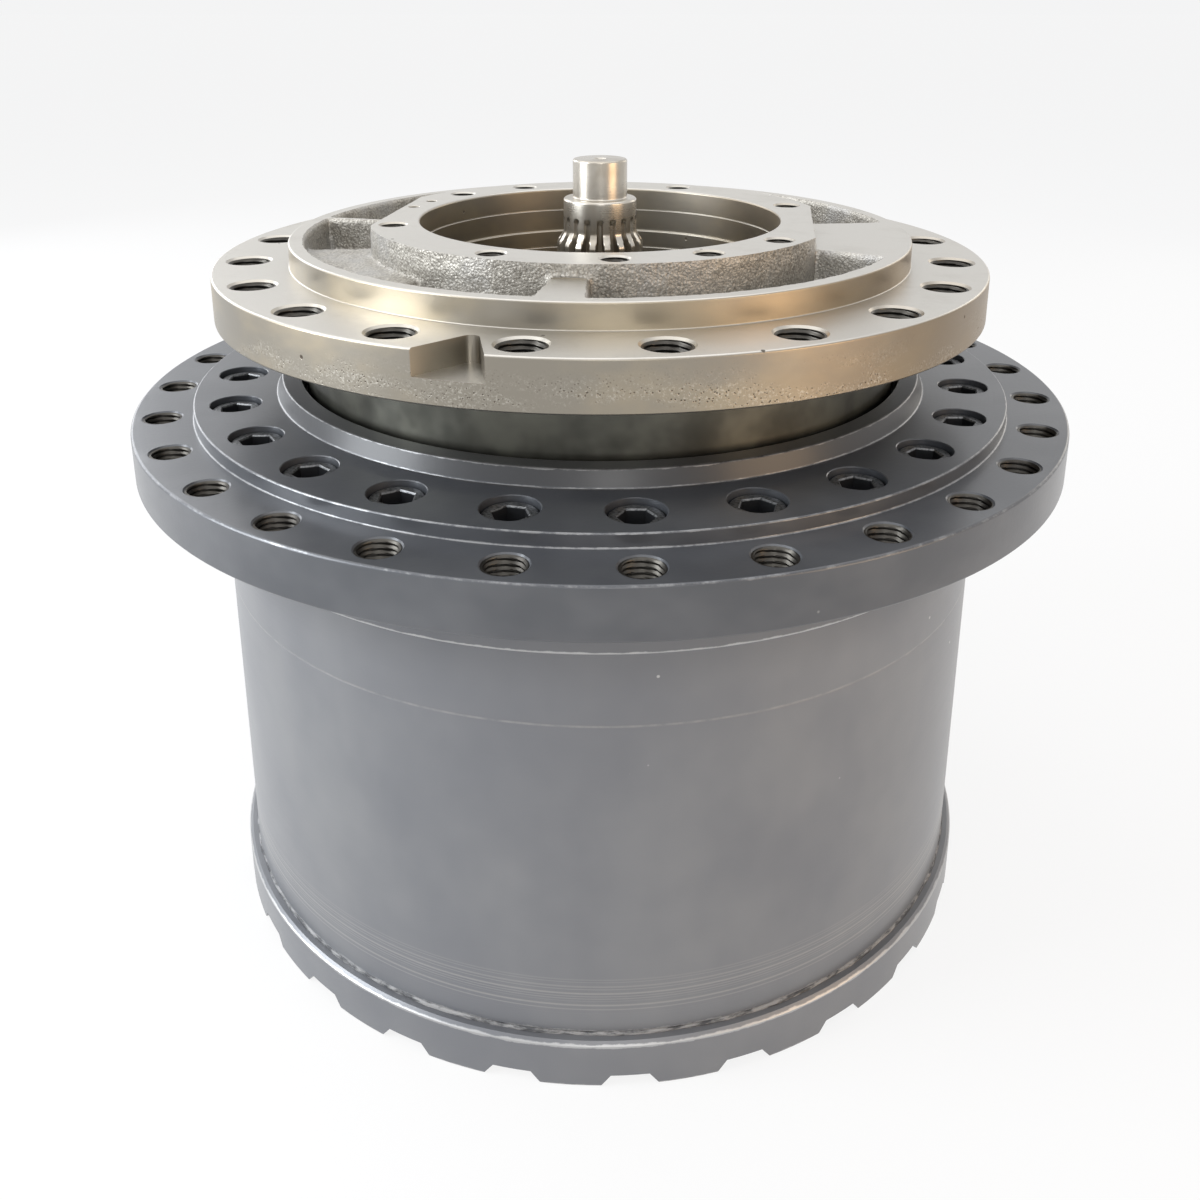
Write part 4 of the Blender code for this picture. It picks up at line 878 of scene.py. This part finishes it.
def notchBars(s):
    flare = (s["mouth"] - s["roof"]) / 2 / s["depth"]
    points, faces = [], []
    section = [(-1.0, -1.0), (1.0, -1.0), (1.0, s["depth"]), (-1.0, s["depth"])]
    for angle in spread(s["notches"], s["notchStart"]):
        start = len(points)
        for radius in (s["padIn"] - s["runout"], coverR + 3.0):
            for side, height in section:
                y = side * (s["roof"] / 2 + flare * (s["depth"] - height))
                points.append((*rotated(radius, y, angle), height))
        faces += stackFaces(2, len(section), start)
    return meshPiece("notchBars", points, faces, drumCoat)


def makeCover(s):
    joint = drumLow - gap
    piece = turnedPiece("endCover", [
        (s["middleR"], s["recess"], 0), (s["padIn"] - s["padSlope"], s["recess"], 1.0),
        (s["padIn"], 0.0, 0.5), (coverR, 0.0, 0.9), (coverR, joint - s["chamfer"], 0.5),
        (coverR - s["chamfer"], joint, 0.3),
        (s["spigotR"], joint, 0.3), (s["spigotR"], joint + s["spigot"], 0.8),
        (s["spigotR"] - s["spigotWall"], joint + s["spigot"], 0.8),
        (s["spigotR"] - s["spigotWall"] - s["spigotSlope"], s["floor"], 1.5),
        (s["middleR"], s["floor"], 0)],
        s["count"], drumCoat, closed=False)
    carve(piece, notchBars(s))
    plugAngles = [radians(a) for a in s["plugs"].values()]
    hole = s["plugR"] + gap
    carve(piece, pegs("plugHoles", plugAngles, s["plugCircle"], [
        (hole + 2.0, s["recess"] - 1.0), (hole, s["recess"] + 1.0), (hole, s["floor"] + 1.0)], 48, drumCoat))
    settle(piece, "hub_body", "end_cover", slot="slate_paint_drum")
    for node, angle in s["plugs"].items():
        centre = polar(s["plugCircle"], radians(angle))
        low, top = lowOf(node), topOf(node)
        profile = softened([(s["plugR"] * 0.5, low, 0), (s["plugR"], low, 0.8), (s["plugR"], top, 0.8),
                            (s["plugR"] * 0.5, top, 0)])
        plug = ringsPiece(node + "Screw", [circle(r, z, 48, centre) for r, z in profile], oxide)
        across = s["plugKey"] / 2 / cos(pi / 6)
        key = [(across + 1.0, low - 1.0), (across, low + 0.6), (across, low + s["keyDepth"])]
        carve(plug, ringsPiece("key", [circle(r, z, 6, centre) for r, z in key], oxide))
        settle(plug, "hub_body", node, slot="black_oxide")


beadSize = {"count": 480, "sides": 10, "circleR": coverR - 6.1, "size": 1.35, "wide": 1.15,
            "swell": (9.0, 0.45), "ripple": (41.0, 0.25), "stray": (17.0, 0.35), "strayFrom": (5.0, 0.0, 0.0)}


def makeGasketBead(s):                    # squeezed out unevenly all the way round the joint
    joint = drumLow - gap / 2
    count, sides = s["count"], s["sides"]
    points = []
    for i in range(count):
        angle = 2 * pi * i / count
        ahead = Vector((cos(angle), sin(angle), 0.0))
        size = s["size"]
        for often, height in (s["swell"], s["ripple"]):
            size += height * noise.noise(ahead * often)
        often, height = s["stray"]
        shift = height * noise.noise(ahead * often + Vector(s["strayFrom"]))
        for k in range(sides):
            around = 2 * pi * k / sides
            x, y = polar(s["circleR"] + size * s["wide"] * cos(around), angle)
            points.append((x, y, joint + shift + size * sin(around)))
    faces = []
    for i in range(count):
        for k in range(sides):
            a, b = i * sides, (i + 1) % count * sides
            faces.append((a + k, a + (k + 1) % sides, b + (k + 1) % sides, b + k))
    settle(meshPiece("gasketBead", points, faces, gasket), "hub_body")


makeCover(coverSize)
makeGasketBead(beadSize)
print("cover made")


# sun shaft: nose, shoulder, splines that run out into it, and the input sun at its foot
shaftSize = {"noseR": 14.7, "shoulderR": 19.8, "shoulderDrop": 20.85, "flutes": 29.0, "fluteRise": 2.5,
             "flareTop": 38.0, "flareLow": 46.0, "flareStep": 0.8, "spline": 60.0, "teeth": 18,
             "tipR": 23.5, "rootR": 18.2, "shaftR": 18.0, "around": 16, "dimpleR": 3.4, "dimple": 5.0,
             "tipHalf": 0.28, "tipThins": 0.06, "footHalf": 0.35, "footThins": 0.04}


def eased(value, low, high):
    share = min(1.0, max(0.0, (value - low) / (high - low)))
    return share * share * (3 - 2 * share)


def splineRadius(s, phase, depth):
    rise = s["fluteRise"]
    sunk = eased(depth + abs(phase) * rise, s["flutes"] + rise, s["flutes"] + 2 * rise)
    flare = eased(depth, s["flareTop"], s["flareLow"])
    tip = s["shoulderR"] + (s["tipR"] - s["shoulderR"]) * flare
    root = s["shoulderR"] - (s["shoulderR"] - s["rootR"]) * sunk
    tipHalf = s["tipHalf"] - s["tipThins"] * flare
    footHalf = s["footHalf"] - s["footThins"] * flare
    share = min(1.0, max(0.0, (footHalf - abs(phase)) / (footHalf - tipHalf)))
    return root + (tip - root) * share


def makeShaft(s, g):
    low = lowOf("sun_shaft")
    sunTop = topOf("input_planet_1") + 2.0
    shoulder = shaftEnd - s["shoulderDrop"]
    splineTop = shaftEnd - s["flareLow"]
    splineLow = splineTop - s["spline"]
    count = s["teeth"] * s["around"]
    rings = [circle(s["shaftR"] - 1.0, low, count), circle(s["shaftR"], low + 1.0, count)]
    rings += [circle(s["shaftR"], splineLow - 3.0, count)]
    levels = [splineLow, splineLow + 1.5, splineTop]
    step = s["flareStep"]
    levels += [splineTop + step * k for k in range(1, round((s["flareLow"] - s["flutes"]) / step))]
    for z in levels:
        ring = []
        for i in range(count):
            phase = (i / s["around"] + 0.5) % 1.0 - 0.5
            r = s["shaftR"] + 0.1 if z == splineLow else splineRadius(s, phase, shaftEnd - z)
            x, y = polar(r, 2 * pi * i / count)
            ring.append((x, y, z))
        rings.append(ring)
    nose = softened([(s["shoulderR"], shaftEnd - s["flutes"], 0), (s["shoulderR"], shoulder, 1.4),
                     (s["noseR"], shoulder, 0.8), (s["noseR"], shaftEnd, 1.2),
                     (s["dimpleR"], shaftEnd, 0.3), (0.6, shaftEnd - s["dimple"], 0)])
    rings += [circle(r, z, count) for r, z in nose[1:]]
    piece = ringsPiece("sunShaft", rings, steel)
    firstAngle = planetStages["input_planet"][0]
    inputSun = gearBody("inputSun", g, g["sun"], sunTurn(g, firstAngle), (0.0, 0.0),
                        low - 0.02, sunTop, 0.0, steel)
    carve(piece, inputSun, "UNION")
    settle(piece, "sun_shaft_body", "sun_shaft", slot="ground_steel")


makeShaft(shaftSize, gearSize)
print("sun shaft made")


# inner pieces that keep their CAD shape get their real finish
finishOf = {"ball_cage_lower": brass, "ball_cage_upper": brass, "thrust_pad": brass,
            "seal_ring_upper": lapped, "seal_ring_lower": lapped,
            "seal_rubber_upper": rubber, "seal_rubber_lower": rubber}
for name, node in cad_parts.items():
    if not node.hide_render:
        node.data.materials.clear()
        node.data.materials.append(finishOf.get(name, steel))
print("inner pieces finished")


# floor, light and camera
stageSize = {"floor": 40.0, "level": -0.0002, "floorTone": (0.82, 0.82, 0.82), "floorWhite": 0.85,
             "sky": (0.93, 0.95, 1.0), "skyStrength": 0.42, "skyWhite": 0.84, "aim": (0.0, 0.0, 0.2)}


def makeFloor(s):
    half = s["floor"]
    mesh = bpy.data.meshes.new("floor")
    mesh.from_pydata([(-half, -half, s["level"]), (half, -half, s["level"]), (half, half, s["level"]),
                      (-half, half, s["level"])], [], [(0, 1, 2, 3)])
    floor = bpy.data.objects.new("floor", mesh)
    bpy.context.scene.collection.objects.link(floor)
    material = bpy.data.materials.new("paleFloor")
    material.use_nodes = True
    tree = material.node_tree
    diffuse = tree.nodes["Principled BSDF"]
    diffuse.inputs["Base Color"].default_value = (*s["floorTone"], 1.0)
    diffuse.inputs["Roughness"].default_value = 0.9
    surface = tree.nodes["Material Output"].inputs["Surface"]
    shownWhite(tree, s["floorWhite"], "ShaderNodeEmission", diffuse, surface)
    mesh.materials.append(material)


def shownWhite(tree, most, kindOfGlow, lit, surface):  # white to camera and mirror rays only
    path = tree.nodes.new("ShaderNodeLightPath")
    seen = path.outputs["Is Camera Ray"]
    for kind in ("Is Glossy Ray", "Is Transmission Ray"):
        either = tree.nodes.new("ShaderNodeMath")
        either.operation = "MAXIMUM"
        tree.links.new(seen, either.inputs[0])
        tree.links.new(path.outputs[kind], either.inputs[1])
        seen = either.outputs[0]
    share = tree.nodes.new("ShaderNodeMath")
    share.operation = "MULTIPLY"
    share.inputs[1].default_value = most
    glow = tree.nodes.new(kindOfGlow)
    glow.inputs["Color"].default_value = (1.0, 1.0, 1.0, 1.0)
    mix = tree.nodes.new("ShaderNodeMixShader")
    tree.links.new(seen, share.inputs[0])
    tree.links.new(share.outputs[0], mix.inputs[0])
    tree.links.new(lit.outputs[0], mix.inputs[1])
    tree.links.new(glow.outputs[0], mix.inputs[2])
    tree.links.new(mix.outputs[0], surface)


def makeWorld(s):
    world = bpy.data.worlds.new("studio")
    bpy.context.scene.world = world
    world.use_nodes = True
    tree = world.node_tree
    backdrop = tree.nodes["Background"]
    backdrop.inputs["Color"].default_value = (*s["sky"], 1.0)
    backdrop.inputs["Strength"].default_value = s["skyStrength"]
    surface = tree.nodes["World Output"].inputs["Surface"]
    shownWhite(tree, s["skyWhite"], "ShaderNodeBackground", backdrop, surface)


panels = {                                # place, size in m, watts, colour
    "leftWindow": ((-1.7, -0.5, 0.9), (1.0, 1.5), 40.0, (0.92, 0.96, 1.0)),
    "backLeft": ((-1.5, 1.3, 0.9), (1.3, 1.2), 12.0, (0.95, 0.97, 1.0)),
    "rightWall": ((1.4, -1.0, 0.5), (0.9, 0.9), 9.0, (1.0, 0.66, 0.36)),
    "backRight": ((1.5, 1.3, 0.8), (0.6, 1.1), 3.0, (1.0, 0.93, 0.82)),
    "overhead": ((-0.2, 0.1, 2.2), (3.0, 3.0), 26.0, (1.0, 1.0, 1.0)),
    "front": ((0.15, -2.2, 1.1), (0.5, 1.1), 7.0, (1.0, 0.99, 0.97)),
}


def makePanels(s):
    for name, (place, size, power, tint) in panels.items():
        data = bpy.data.lights.new(name, "AREA")
        data.shape = "RECTANGLE"
        data.size, data.size_y = size
        data.energy = power
        data.color = tint
        lamp = bpy.data.objects.new(name, data)
        lamp.location = place
        lamp.rotation_euler = (Vector(s["aim"]) - Vector(place)).to_track_quat("-Z", "Y").to_euler()
        bpy.context.scene.collection.objects.link(lamp)


cameraSize = {"lens": 35.32, "place": (0.0, -0.6382, 0.4844), "down": 17.05, "shift": -0.2}


def makeCamera(s):
    data = bpy.data.cameras.new("camera")
    data.lens = s["lens"]
    data.shift_y = s["shift"]
    camera = bpy.data.objects.new("camera", data)
    camera.location = s["place"]
    camera.rotation_euler = (radians(90.0 - s["down"]), 0.0, 0.0)
    bpy.context.scene.collection.objects.link(camera)
    bpy.context.scene.camera = camera


makeFloor(stageSize)
makeWorld(stageSize)
makePanels(stageSize)
makeCamera(cameraSize)
bpy.context.scene.view_settings.view_transform = "Standard"
print("stage made")
